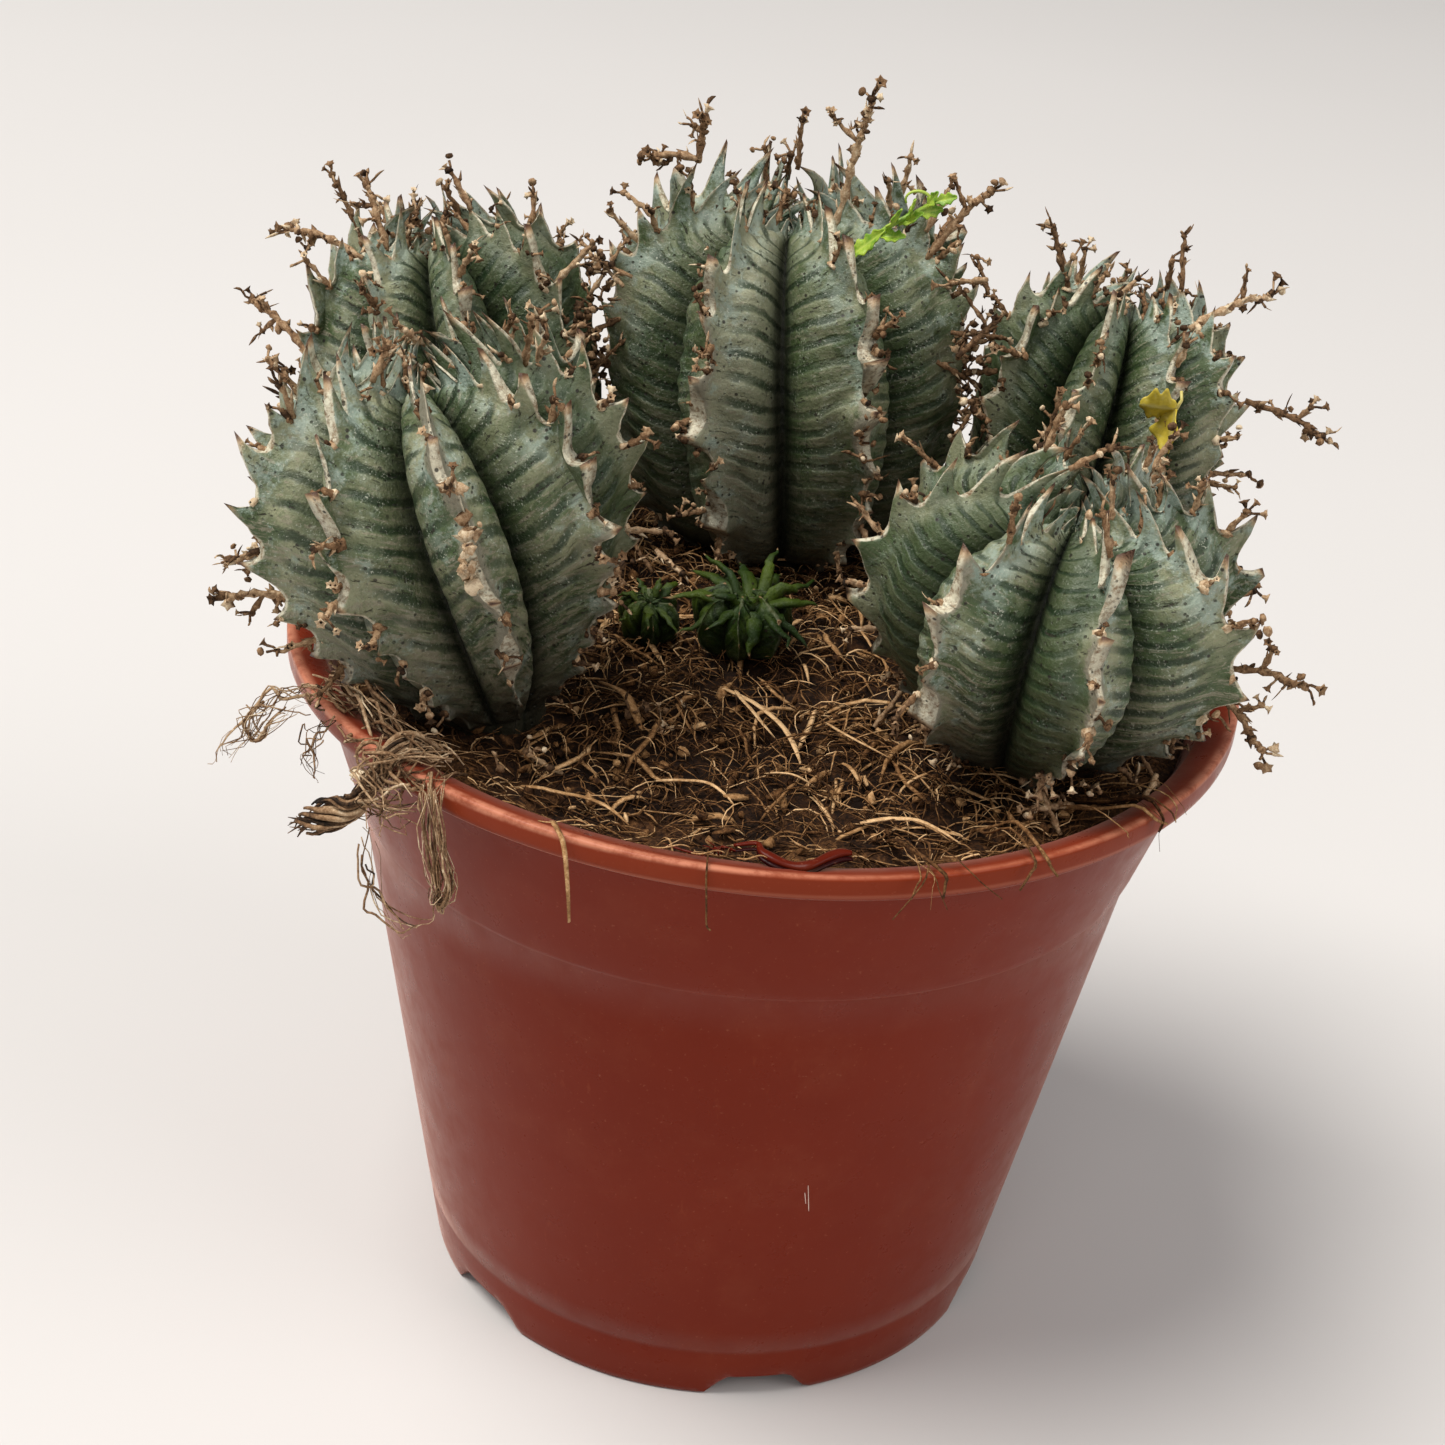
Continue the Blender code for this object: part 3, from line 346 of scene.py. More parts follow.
# Colours of the skins, light, green and dark, and of the leaves, two in blotches and the veins'; and how
# far the offsets' skin has aged.
STEM_COLOURS = ((0.270, 0.278, 0.165), (0.062, 0.096, 0.034), (0.010, 0.027, 0.008))
OFFSET_COLOURS = ((0.058, 0.088, 0.008), (0.013, 0.030, 0.003), (0.003, 0.009, 0.001))
WEED_COLOURS = ((0.14, 0.30, 0.02), (0.38, 0.52, 0.05), (0.50, 0.60, 0.12))
LEAF_COLOURS = ((0.36, 0.27, 0.02), (0.60, 0.47, 0.05), (0.62, 0.56, 0.22))
OFFSET_WEAR = 0.10

# Radii of stalks that are long, of the CAD model's rule, and short; the room that they keep; and how deep
# their roots lie under the skin.
LONG_STALK = 0.00056
RULE_STALK = 0.00046
SHORT_STALK = 0.00042
STALK_ROOM = 0.0012
STALK_ROOT = 0.0008

# A way that hardly any strand follows, to start the sides of a tube from, and the size of rough grit.
ASKEW = (0.31, 0.17, 0.93)
GRIT = 0.0009


def unit(vector):
    vector = np.asarray(vector, float)
    return vector / np.linalg.norm(vector)


def ramp(value, start, width):
    """A share that rises from 0 at start to 1 one width further on."""
    return np.clip((value - start) / width, 0, 1)


def scatter(draw):
    """A random way, with each part from -1 to 1."""
    return np.array([draw.uniform(-1, 1) for _ in range(3)])


def sized(profile, wide, tall=None):
    """A profile of (radius, height) made as wide and as tall as given."""
    return [(radius * wide, height * (tall or wide)) for radius, height in profile]


def value_noise(points, size, seed):
    """Smooth noise from -1 to 1 at an array of points, with features about size across."""
    lattice = np.random.default_rng(seed).uniform(-1, 1, (16, 16, 16))
    scaled = np.asarray(points, float) / size
    cell = np.floor(scaled).astype(int)
    part = scaled - cell
    part = part * part * (3 - 2 * part)
    total = 0
    for corner in itertools.product((0, 1), repeat=3):
        weight = np.prod(np.where(corner, part, 1 - part), -1)
        index = (cell + corner) % 16
        total = total + weight * lattice[index[..., 0], index[..., 1], index[..., 2]]
    return total


def smooth_curve(control, places):
    """Catmull-Rom curve through control points, at an array of places from 0 to 1."""
    control = np.array(control, float)
    padded = np.vstack([2 * control[0] - control[1], control, 2 * control[-1] - control[-2]])
    scaled = np.clip(places, 0, 1) * (len(control) - 1)
    index = np.minimum(scaled.astype(int), len(control) - 2)
    part = (scaled - index)[..., None]
    a, b, c, d = (padded[index + shift] for shift in range(4))
    return 0.5 * (2 * b + (c - a) * part + (2 * a - 5 * b + 4 * c - d) * part ** 2
                  + (3 * b - a - 3 * c + d) * part ** 3)


def add_object(name, data, body=BODY):
    obj = bpy.data.objects.new(name, data)
    bpy.context.scene.collection.objects.link(obj)
    if body:
        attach(obj, body)
    return obj


def mesh_object(name, points, faces, material, values=None):
    """A smooth-shaded piece from points and faces, with named values at its points for the material."""
    mesh = bpy.data.meshes.new(name)
    mesh.from_pydata(np.asarray(points).tolist(), [], faces)
    for key, data in (values or {}).items():
        attribute = mesh.attributes.new(key, 'FLOAT', 'POINT')
        attribute.data.foreach_set("value", np.asarray(data, np.float32).ravel())
    mesh.shade_smooth()
    mesh.materials.append(material)
    obj = add_object(name, mesh)
    return obj


def ring_faces(rows, columns):
    """Quads of a grid whose columns close round."""
    index = np.arange(rows * columns).reshape(rows, columns)
    right = np.roll(index, -1, axis=1)
    return np.stack([index[:-1], right[:-1], right[1:], index[1:]], -1).reshape(-1, 4)


@functools.lru_cache(None)
def tube_faces(rows, columns):
    """Quads and end triangles of a tube; its two end points come after its rings."""
    ring = np.arange(columns)
    after = np.roll(ring, -1)
    first = np.full(columns, rows * columns)
    low = np.stack([after, ring, first], -1)
    high = np.stack([ring + (rows - 1) * columns, after + (rows - 1) * columns, first + 1], -1)
    return ring_faces(rows, columns), np.vstack([low, high])


class Strands:
    """Many small closed tubes and turned bits gathered into one mesh, with named values for the material.

    The usual value is a tone from 0, dark, to 1.
    """

    def __init__(self, *names):
        self.names = names or ("tone",)
        self.points = []
        self.quads = []
        self.triangles = []
        self.values = []
        self.count = 0

    def add(self, points, quads, triangles, *values):
        self.points.append(points)
        self.quads.append(quads + self.count)
        self.triangles.append(triangles + self.count)
        self.values.append([np.broadcast_to(value, len(points)) for value in values])
        self.count += len(points)

    def tube(self, path, radii, sides=5, tone=0.5, flat=1.0, turn=0.0):
        """A tube through the path's points; flat squashes it, and turn rolls it."""
        path = np.asarray(path, float)
        heading = np.gradient(path, axis=0)
        heading /= np.linalg.norm(heading, axis=1)[:, None] + 1e-12
        side = np.cross(heading[0], ASKEW)
        sides_along = []
        for way in heading:
            side = side - way * side.dot(way)
            side = side / (np.linalg.norm(side) + 1e-12)
            sides_along.append(side)
        side = np.array(sides_along)
        up = np.cross(heading, side)
        angles = np.arange(sides) * math.tau / sides
        wide = np.cos(angles)
        thick = np.sin(angles) * flat
        first = wide * math.cos(turn) - thick * math.sin(turn)
        second = wide * math.sin(turn) + thick * math.cos(turn)
        ring = side[:, None] * first[None, :, None] + up[:, None] * second[None, :, None]
        rings = path[:, None] + ring * np.asarray(radii)[:, None, None]
        points = np.vstack([rings.reshape(-1, 3), path[:1], path[-1:]])
        self.add(points, *tube_faces(len(path), sides), *(tone if isinstance(tone, tuple) else (tone,)))

    def turned(self, place, way, profile, sides=8, tone=0.5, lobes=0, wave=0.0, rough=0.0):
        """A closed turned bit along way; its profile of (radius, height) starts and ends on the axis."""
        way = unit(way)
        side = unit(np.cross(way, ASKEW))
        up = np.cross(way, side)
        profile = np.array(profile, float)
        middle = profile[1:-1]
        angles = np.arange(sides) * math.tau / sides
        swing = 1 + wave * np.cos(lobes * angles)[None] * (middle[:, 1:] / middle[:, 1].max()) ** 2
        reach = middle[:, :1] * swing
        rings = (np.asarray(place) + middle[:, 1][:, None, None] * way
                 + (reach * np.cos(angles))[..., None] * side + (reach * np.sin(angles))[..., None] * up)
        ends = np.asarray(place) + np.outer(profile[[0, -1], 1], way)
        points = np.vstack([rings.reshape(-1, 3), ends])
        if rough:
            points = points + rough * np.stack(
                [value_noise(points + shift, GRIT, SEED) for shift in (0, 0.1, 0.2)], -1)
        self.add(points, *tube_faces(len(middle), sides), tone)

    def build(self, name, material):
        faces = np.concatenate(self.quads).tolist() + np.concatenate(self.triangles).tolist()
        values = {key: np.concatenate([row[index] for row in self.values])
                  for index, key in enumerate(self.names)}
        return mesh_object(name, np.concatenate(self.points), faces, material, values)


class Value:
    """An output of a node in a material; arithmetic and steps on it add the nodes that work them out."""

    def __init__(self, shader, socket):
        self.shader = shader
        self.socket = socket

    def math(self, operation, *others):
        return self.shader.node("Math", 0, dict(enumerate((self, *others))), operation=operation)

    def __add__(self, other):
        return self.math('ADD', other)

    def __sub__(self, other):
        return self.math('SUBTRACT', other)

    def __mul__(self, other):
        return self.math('MULTIPLY', other)

    def step(self, low, high, start=0.0, end=1.0):
        """A smooth step: start where the value is at low, end where it is at high."""
        inputs = {"Value": self, "From Min": low, "From Max": high, "To Min": start, "To Max": end}
        return self.shader.node("MapRange", "Result", inputs, interpolation_type='SMOOTHSTEP')


class Shader:
    """A material of nodes whose colour is painted on layer by layer."""

    def __init__(self, name, roughness, shine):
        self.material = bpy.data.materials.new(name)
        self.material.use_nodes = True
        self.tree = self.material.node_tree
        self.surface = self.tree.nodes["Principled BSDF"]
        self.fill(self.surface, {"Roughness": roughness, "Specular IOR Level": shine})
        self.place = self.node("TexCoord", "Object", {})
        self.colour = None

    def fill(self, node, inputs):
        """Links a node's inputs to values, or sets them where they are plain numbers or colours."""
        for key, value in inputs.items():
            socket = node.inputs[key]
            if isinstance(value, Value):
                self.tree.links.new(value.socket, socket)
            elif socket.type == 'RGBA':
                socket.default_value = (*value, 1)
            else:
                socket.default_value = value

    def node(self, kind, output, inputs, **settings):
        """A new node's output, with the node's settings and inputs filled in."""
        node = self.tree.nodes.new("ShaderNode" + kind)
        for name, setting in settings.items():
            setattr(node, name, setting)
        self.fill(node, inputs)
        return Value(self, node.outputs[output])

    def value(self, name):
        """A named value stored at the mesh's points."""
        return self.node("Attribute", "Fac", {}, attribute_name=name)

    def noise(self, size, detail=3.0, rough=0.5, stretch=None, where=None):
        """Noise from 0 to 1 with features about size across, in metres."""
        where = where or self.place
        if stretch:
            where = self.node("Mapping", "Vector", {"Vector": where, "Scale": stretch})
        inputs = {"Vector": where, "Scale": 1 / size, "Detail": detail, "Roughness": rough}
        return self.node("TexNoise", "Fac", inputs)

    def cells(self, size):
        """Distance to the nearest of many scattered points, about size apart, as a share of that size."""
        return self.node("TexVoronoi", "Distance", {"Vector": self.place, "Scale": 1 / size})

    def mix(self, share, first, second):
        """A colour between two others: the first where share is 0, the second where it is 1."""
        return self.node("Mix", 2, {0: share, 6: first, 7: second}, data_type='RGBA')

    def grade(self, value, stops):
        """The colour at a value, from stops of position and colour."""
        graded = self.node("ValToRGB", "Color", {"Fac": value})
        elements = graded.socket.node.color_ramp.elements
        while len(elements) < len(stops):
            elements.new(1)
        for element, (position, colour) in zip(elements, stops):
            element.position = position
            element.color = (*colour, 1)
        return graded

    def paint(self, share, colour):
        """Lays a colour over the colour so far, where share is above 0."""
        self.colour = self.mix(share, self.colour, colour)

    def finish(self, height, distance, strength=1.0, roughness=None):
        """The material, with its colour so far, a fine relief and, where given, a roughness of its own."""
        relief = self.node("Bump", "Normal", {"Height": height, "Distance": distance, "Strength": strength})
        self.fill(self.surface, {"Base Color": self.colour, "Normal": relief})
        if roughness:
            self.fill(self.surface, {"Roughness": roughness})
        return self.material


def pot_material(name="pot_plastic", shade=1.0):
    """Brown-red moulded plastic with fine scuffs and dust, paler on its rim, with painted highlights on its
    edges.
    """
    # shade below 1 makes darker copies of the plastic, for painted shade.
    shader = Shader(name, 0.4, 0.10)
    shader.fill(shader.surface, {"Sheen Weight": 0.30 * shade, "Sheen Roughness": 0.30,
                                 "Sheen Tint": (1.0, 0.58, 0.46)})
    fine = shader.noise(0.0016, 3.0, 0.7, stretch=(1, 1, 0.25))
    shader.colour = shader.mix(shader.noise(0.03, 4.0, 0.6), (0.142 * shade, 0.0105 * shade, 0.0012),
                               (0.180 * shade, 0.016 * shade, 0.0025))
    shader.paint(shader.noise(0.0007, 2.0).step(0.66, 0.78) * 0.25, (0.40, 0.14, 0.08))
    shader.paint(fine.step(0.62, 0.80) * 0.15, (0.36, 0.09, 0.035))
    shader.paint(shader.noise(0.018, 5.0, 0.7).step(0.48, 0.72) * 0.05, (0.42, 0.15, 0.07))
    x, y, z = (shader.node("SeparateXYZ", axis, {"Vector": shader.place}) for axis in "XYZ")
    reach = (x * x + y * y).math('SQRT')
    flange_foot = RIM_TOP - FLANGE_HEIGHT
    rim = reach.step(SHOULDER_RADIUS, RIM_RADIUS) * z.step(flange_foot - 0.0006, flange_foot + 0.0006)
    shader.paint(rim * 0.30, (0.30 * shade, 0.060, 0.022))
    # Painted highlight: a pale strip along the rim's top outer edge, broken in patches like wear.
    crown = z.step(RIM_TOP - 0.0011, RIM_TOP - 0.0003) * reach.step(RIM_RADIUS - 0.0022, RIM_RADIUS - 0.0006)
    wear_and_highlight = shader.noise(0.004, 5.0, 0.75).step(0.30, 0.62, 0.25, 1.0)
    shader.paint(crown * wear_and_highlight * 0.75, (0.62 * shade, 0.25, 0.15))
    # Painted highlight: a pale line along the flange's lower edge.
    flange_edge_highlight = rim * z.step(flange_foot + 0.0009, flange_foot + 0.0002)
    shader.paint(flange_edge_highlight * 0.35, (0.48 * shade, 0.17, 0.10))
    roughness = shader.noise(0.006, 4.0, 0.65).step(0.3, 0.75, 0.26, 0.42)
    return shader.finish(fine, 0.00005, 0.5, roughness)


def skin_material(name, light, green, dark, wear=1.0):
    """Waxy banded skin with blooms, scars and corky crests, painted highlights and shade; wear is how far it
    has aged.

    Its values: across from crest to furrow, band along a rib, height up it, horn and cork, the distance
    from the rib's sharp margin in millimetres, and how far it faces the middle of the clump.
    """
    shader = Shader(name, 0.5, 0.12 + 0.30 * wear)
    across, band, height, horn, cork, margin, inner = (shader.value(key) for key in SKIN_VALUES)
    blotch = shader.noise(0.012, 4.0, 0.6)
    patch = shader.noise(0.0048, 5.0, 0.72)
    grain = shader.noise(0.0011, 4.0, 0.75)
    streak = shader.noise(1.0, 4.0, 0.72, where=shader.node(
        "CombineXYZ", "Vector", {"X": across * 2.4, "Y": band * 4.5, "Z": blotch * 9.0}))
    low = height.step(0.60, 0.10)

    # Greens in blotches. Cheeks that face the clump's middle, or are listed in CHEEKS, get a fresher, darker
    # green, partly painted shade between the stems; cheeks listed below 0 get a paler, yellower grey-olive.
    shader.colour = shader.mix(blotch.step(0.40, 0.60), green, light)
    shader.paint(across.step(0.30, 0.95) * 0.60, green)
    shader.paint(shader.noise(0.0030, 5.0, 0.75).step(0.52, 0.66) * 0.55, green)
    # Partly painted shade: a darker green where the cheek faces the clump's middle or is listed.
    fresh_and_shade = shader.mix(inner.step(0.75, 1.0, 0.0, 0.75), green, tuple(0.55 * value for value in green))
    shader.paint(inner * across.step(0.02, 0.30, 0.28, 0.86), fresh_and_shade)
    shader.paint(inner.step(-0.05, -0.40, 0.0, 0.55 * wear), (0.38, 0.38, 0.26))

    # Tan streaks where it has aged, and a pale waxy bloom towards the crests, partly painted highlight:
    # stronger up high and weaker on cheeks that face the clump's middle.
    aged = (streak + low * 0.12).step(0.54, 0.66) * inner.step(0.0, 1.0, 0.82 * wear, 0.16 * wear)
    shader.paint(aged, shader.mix(grain, (0.13, 0.11, 0.065), (0.43, 0.40, 0.29)))
    bloom_and_highlight = (patch + height.step(0.35, 0.85) * 0.12).step(0.50, 0.68)
    bloom_and_highlight = bloom_and_highlight * across.step(0.75, 0.10, 0.10 * wear, 0.75 * wear) * inner.step(0.0, 1.0, 1.0, 0.16)
    shader.paint(bloom_and_highlight, (0.34, 0.43, 0.37))

    # Wavy dark bands round the ribs, with pale powder and dark scars over them.
    line = ((band + patch * 0.48) * math.tau).math('COSINE').step(0.05, 0.94)
    line = line * across.step(0.02, 0.38) * height.step(0.12, 0.40, 0.30, 1.0)
    line = line * shader.noise(0.0085, 3.0).step(0.36, 0.56, 0.65, 1.0)
    shader.paint(line * 0.90, dark)
    powder = shader.noise(0.00045, 2.0, 0.6).step(0.58, 0.70)
    powder = powder * patch.step(0.40, 0.60, 0.12 * wear, 0.72 * wear) * inner.step(0.3, 1.0, 1.0, 0.40)
    shader.paint(powder, (0.50, 0.52, 0.42))
    scars = streak.step(0.39, 0.31) * patch.step(0.62, 0.42, 0.3, 0.95)
    shader.paint(scars, (0.028, 0.022, 0.012))

    # Cork on the crests, a pale worn edge along the ribs' sharp margins, and brown horn tips.
    pale = shader.mix(shader.noise(0.0014, 5.0, 0.8), (0.12, 0.09, 0.05), (0.44, 0.43, 0.33))
    ragged = cork + (shader.noise(0.0026, 5.0, 0.8) - 0.5) * 2.2
    shader.paint(ragged.step(0.25, 0.80) * cork.step(0.0, 0.25), pale)
    edge = margin + (patch - 0.5) * 0.7 - low * 0.12
    wear_and_highlight = shader.mix(shader.noise(0.0012, 4.0, 0.75).step(0.3, 0.6), (0.22, 0.13, 0.06), (0.74, 0.70, 0.53))
    shader.paint(edge.step(0.36, 0.12) * (0.90 * wear), wear_and_highlight)
    tip = shader.mix(horn.step(0.76, 0.94), (0.42, 0.27, 0.14), (0.085, 0.036, 0.016))
    shader.paint(horn.step(0.62, 0.88), tip)

    # Earthy feet, pits and specks, and shade deep in the furrows and low down.
    foot = height.step(0.24, 0.03) + (shader.noise(0.0035, 5.0, 0.75) - 0.5) * 1.6
    earth = shader.mix(grain, (0.030, 0.022, 0.012), (0.16, 0.12, 0.075))
    shader.paint(foot.step(0.35, 0.85) * (0.80 * wear), earth)
    pits = shader.cells(0.0014).step(0.24, 0.12) * patch.step(0.46, 0.58, 0.0, 0.85 * wear)
    shader.paint(pits, (0.030, 0.030, 0.016))
    specks = shader.cells(0.0023).step(0.19, 0.10) * shader.noise(0.007, 2.0).step(0.43, 0.54)
    shader.paint(specks * 0.9, (0.016, 0.012, 0.008))
    lit = across.step(0.72, 1.0, 1.0, 0.20) * height.step(0.02, 0.52, 0.22, 1.0)
    shader.colour = shader.mix(lit, (0.008, 0.010, 0.005), shader.colour)
    relief = grain * 0.35 + patch * 0.55 - line * 0.22 - scars * 0.30 - pits * 0.30
    return shader.finish(relief, 0.00095, roughness=grain.step(0.3, 0.7, 0.33, 0.55))


def dry_material(name, stops, roughness=0.85):
    """Dry stalks, fibres and soil: a colour for each strand's tone, streaked with fine grain."""
    shader = Shader(name, roughness, 0.15)
    grain = shader.noise(0.0006, 4.0, 0.75)
    patch = shader.noise(0.0022, 3.0, 0.7)
    shader.colour = shader.grade(shader.value("tone") + (grain - 0.5) * 0.95 + (patch - 0.5) * 0.8, stops)
    return shader.finish(grain, 0.00016)


def leaf_material(name, first, second, vein, size):
    """A thin leaf: two greens or yellows in blotches, with paler veins where the vein value is high."""
    shader = Shader(name, 0.45, 0.4)
    shader.colour = shader.mix(shader.noise(size, 3.0, 0.6).step(0.35, 0.65), first, second)
    shader.paint(shader.value("vein") * 0.6, vein)
    return shader.finish(shader.noise(size / 6), 0.0001, 0.6)


def lip_radius(height):
    """Radius of the pot's inner wall at a height."""
    heights = [FLOOR_UNDERSIDE + WALL, SHOULDER_FOOT, LIP_HEIGHT, LAND_HEIGHT]
    radii = [FOOT_RADIUS - WALL, SHOULDER_FOOT_RADIUS - WALL, LIP_RADIUS, LAND_RADIUS]
    return float(np.interp(height, heights, radii))


def wall_radius(height):
    """Radius of the pot's outer wall at a height, below its shoulder."""
    slope = (SHOULDER_FOOT_RADIUS - STEP_WIDTH - FOOT_RADIUS) / (SHOULDER_FOOT - STEP_WIDTH)
    return FOOT_RADIUS + slope * height


def pot_profile():
    """The pot's outline from its floor's middle, up the inside, over the rim and down to the underside."""
    floor = FLOOR_UNDERSIDE + WALL
    inside = lip_radius(floor)
    points = [(radius, floor) for radius in (*FLOOR_RINGS, inside - FLOOR_CORNER)]
    points.append((inside, floor + FLOOR_CORNER))
    heights = (*np.linspace(0.012, SHOULDER_FOOT, 8), 0.108, 0.117, LIP_HEIGHT)
    points += [(lip_radius(height), height) for height in heights]
    points += [(LIP_RADIUS + 0.0005, LIP_HEIGHT + 0.0012), (LAND_RADIUS - 0.0003, LAND_HEIGHT - 0.0006),
               (LAND_RADIUS + 0.0004, LAND_HEIGHT + 0.0005), (RIM_RADIUS - 0.0014, RIM_TOP - 0.0001)]
    for turn in np.radians(np.linspace(90, 0, 7)):
        points.append((RIM_RADIUS - RIM_ROUND + RIM_ROUND * math.cos(turn),
                       RIM_TOP - RIM_ROUND + RIM_ROUND * math.sin(turn)))
    flange = RIM_TOP - FLANGE_HEIGHT
    points += [(RIM_RADIUS, flange + 0.0012), (RIM_RADIUS - 0.0001, flange + 0.0004),
               (RIM_RADIUS - 0.0005, flange), (SHOULDER_RADIUS + 0.0006, flange + 0.0001),
               (SHOULDER_RADIUS, flange - 0.0006)]
    for share in np.linspace(0.12, 0.94, 8):
        points.append((SHOULDER_RADIUS + share * (SHOULDER_FOOT_RADIUS - SHOULDER_RADIUS),
                       flange + share * (SHOULDER_FOOT - flange)))
    points += [(SHOULDER_FOOT_RADIUS, SHOULDER_FOOT + 0.0003),
               (SHOULDER_FOOT_RADIUS - 0.0002, SHOULDER_FOOT - 0.0002),
               (SHOULDER_FOOT_RADIUS - STEP_WIDTH, SHOULDER_FOOT - STEP_WIDTH)]
    for height in WALL_HEIGHTS:
        groove = GROOVE_DEPTH if GROOVE_LOW < height < GROOVE_HIGH else 0
        points.append((wall_radius(height) - groove, height))
    ring = FOOT_RADIUS - FOOT_RING_WIDTH
    points += [(FOOT_RADIUS - EDGE_ROUND, 0), (ring + EDGE_ROUND, 0), (ring, EDGE_ROUND), (ring, 0.003),
               (ring, FLOOR_UNDERSIDE - EDGE_ROUND), (ring - EDGE_ROUND, FLOOR_UNDERSIDE)]
    points += [(radius, FLOOR_UNDERSIDE) for radius in reversed(FLOOR_RINGS)]
    return np.array(points)


def notch_height(angles):
    """Height of the foot ring's lower edge at angles about the axis: 0, or up to the top of a notch."""
    pitch = math.tau / NOTCH_COUNT
    from_front = angles + math.pi / 2 - NOTCH_FIRST
    distance = np.abs((from_front + pitch / 2) % pitch - pitch / 2) * FOOT_RADIUS
    flank = (NOTCH_GROUND_WIDTH / 2 - distance) / ((NOTCH_GROUND_WIDTH - NOTCH_TOP_WIDTH) / 2)
    return NOTCH_HEIGHT * np.clip(flank, 0, 1)


def drain_pegs():
    """Pegs that cut the drain holes, one in the middle of the floor and the others round it."""
    bm = bmesh.new()
    for index in range(NOTCH_COUNT + 1):
        angle = NOTCH_FIRST + (index + 0.5) * math.tau / NOTCH_COUNT
        reach = DRAIN_CIRCLE if index < NOTCH_COUNT else 0
        middle = (reach * math.sin(angle), -reach * math.cos(angle), FLOOR_UNDERSIDE + WALL / 2)
        bmesh.ops.create_cone(bm, cap_ends=True, segments=40, radius1=DRAIN_RADIUS, radius2=DRAIN_RADIUS,
                              depth=4 * WALL, matrix=Matrix.Translation(middle))
    mesh = bpy.data.meshes.new("pegs")
    bm.to_mesh(mesh)
    bm.free()
    return add_object("pegs", mesh, None)


def make_pot(material):
    """The pot's shell: its outline turned round, notched at the foot, warped a little and drilled."""
    profile = pot_profile()
    angles = np.arange(POT_SIDES) * math.tau / POT_SIDES
    radius = np.repeat(profile[:, :1], POT_SIDES, 1)
    height = np.repeat(profile[:, 1:], POT_SIDES, 1)
    foot = profile[:, 0] > FOOT_RADIUS - FOOT_RING_WIDTH - 0.0003
    low = foot & (profile[:, 1] < NOTCH_HEIGHT + 0.0008)
    height[low] = np.maximum(height[low], notch_height(angles)[None] + 0.08 * height[low])
    around = np.stack([radius * np.cos(angles), radius * np.sin(angles), height], -1)
    rim = ramp(height, 0.09, 0.04)
    warp = 0.0005 * rim * (np.sin(2 * angles + 0.6) + 0.5 * np.sin(3 * angles + 2.0))[None]
    around[..., 2] += warp * (height > 0.1)
    points = np.vstack([around.reshape(-1, 3), [(0, 0, FLOOR_UNDERSIDE + WALL), (0, 0, FLOOR_UNDERSIDE)]])
    quads, triangles = tube_faces(len(profile), POT_SIDES)
    pot = mesh_object("pot_shell", points, quads.tolist() + triangles.tolist(), material)
    cutter = drain_pegs()
    holes = pot.modifiers.new("holes", 'BOOLEAN')
    holes.operation = 'DIFFERENCE'
    holes.object = cutter
    graph = bpy.context.evaluated_depsgraph_get()
    holed = bpy.data.meshes.new_from_object(pot.evaluated_get(graph))
    pot.modifiers.clear()
    pot.data = holed
    bpy.data.objects.remove(cutter)
    holed.shade_smooth()
    holed.set_sharp_from_angle(angle=math.radians(50))
    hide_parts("pot")


def soil_height(x, y):
    """Height of the soil's surface: a low mound with hollows and clods, lower at +X."""
    reach = np.minimum((x * x + y * y) / SOIL_EDGE_RADIUS ** 2, 1)
    clods = 0.0008 * np.sin(110 * x + 1.3) * np.cos(95 * y - 0.4) + 0.0003 * np.sin(150 * x - 130 * y)
    return SOIL_EDGE_HEIGHT + SOIL_MOUND * (1 - reach) - 0.014 * x + clods * (1 - 0.6 * reach)


def bed_height(x, y):
    """The soil's surface with its crumbs."""
    flat = np.stack([x, y, 0 * x], -1)
    crumbs = 0.0010 * value_noise(flat, 0.0045, 3) + 0.0006 * value_noise(flat, 0.0018, 4)
    return soil_height(x, y) - 0.0004 + crumbs


def make_soil(material):
    """The soil: its crumbly top, and plain sides that fill the pot down to the floor."""
    angles = np.arange(SOIL_SIDES) * math.tau / SOIL_SIDES
    reach = SOIL_EDGE_RADIUS * np.linspace(0.01, 1, SOIL_RINGS)[:, None]
    x = reach * np.cos(angles)
    y = reach * np.sin(angles)
    bottom = FLOOR_UNDERSIDE + WALL + SOIL_CLEARANCE
    rings = [np.stack([x, y, bed_height(x, y)], -1)]
    for height in (0.120, 0.110, SHOULDER_FOOT, 0.075, 0.050, 0.025, bottom):
        wall = lip_radius(height) - SOIL_CLEARANCE
        rings.append(np.stack([wall * np.cos(angles), wall * np.sin(angles), 0 * angles + height], -1)[None])
    around = np.vstack(rings)
    middle = float(bed_height(np.array(0.0), np.array(0.0)))
    points = np.vstack([around.reshape(-1, 3), [(0, 0, middle), (0, 0, bottom)]])
    quads, triangles = tube_faces(len(around), SOIL_SIDES)
    flat = points * [1, 1, 0]
    tone = 0.04 + 0.12 * value_noise(flat, 0.003, 5) + 0.05 * value_noise(flat, 0.012, 6)
    tone = tone + 0.14 * ramp(np.linalg.norm(flat, axis=1), 0.062, 0.012)
    faces = quads[:, ::-1].tolist() + triangles[:, ::-1].tolist()
    soil = mesh_object("soil_bed", points, faces, material, {"tone": tone})
    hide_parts("soil")


def under_stem(x, y):
    """True where a point lies under the foot of a stem."""
    return any(math.hypot(x - stem["foot"][0], y - stem["foot"][1]) < 0.30 * stem["radius"]
               for stem in STEMS.values())


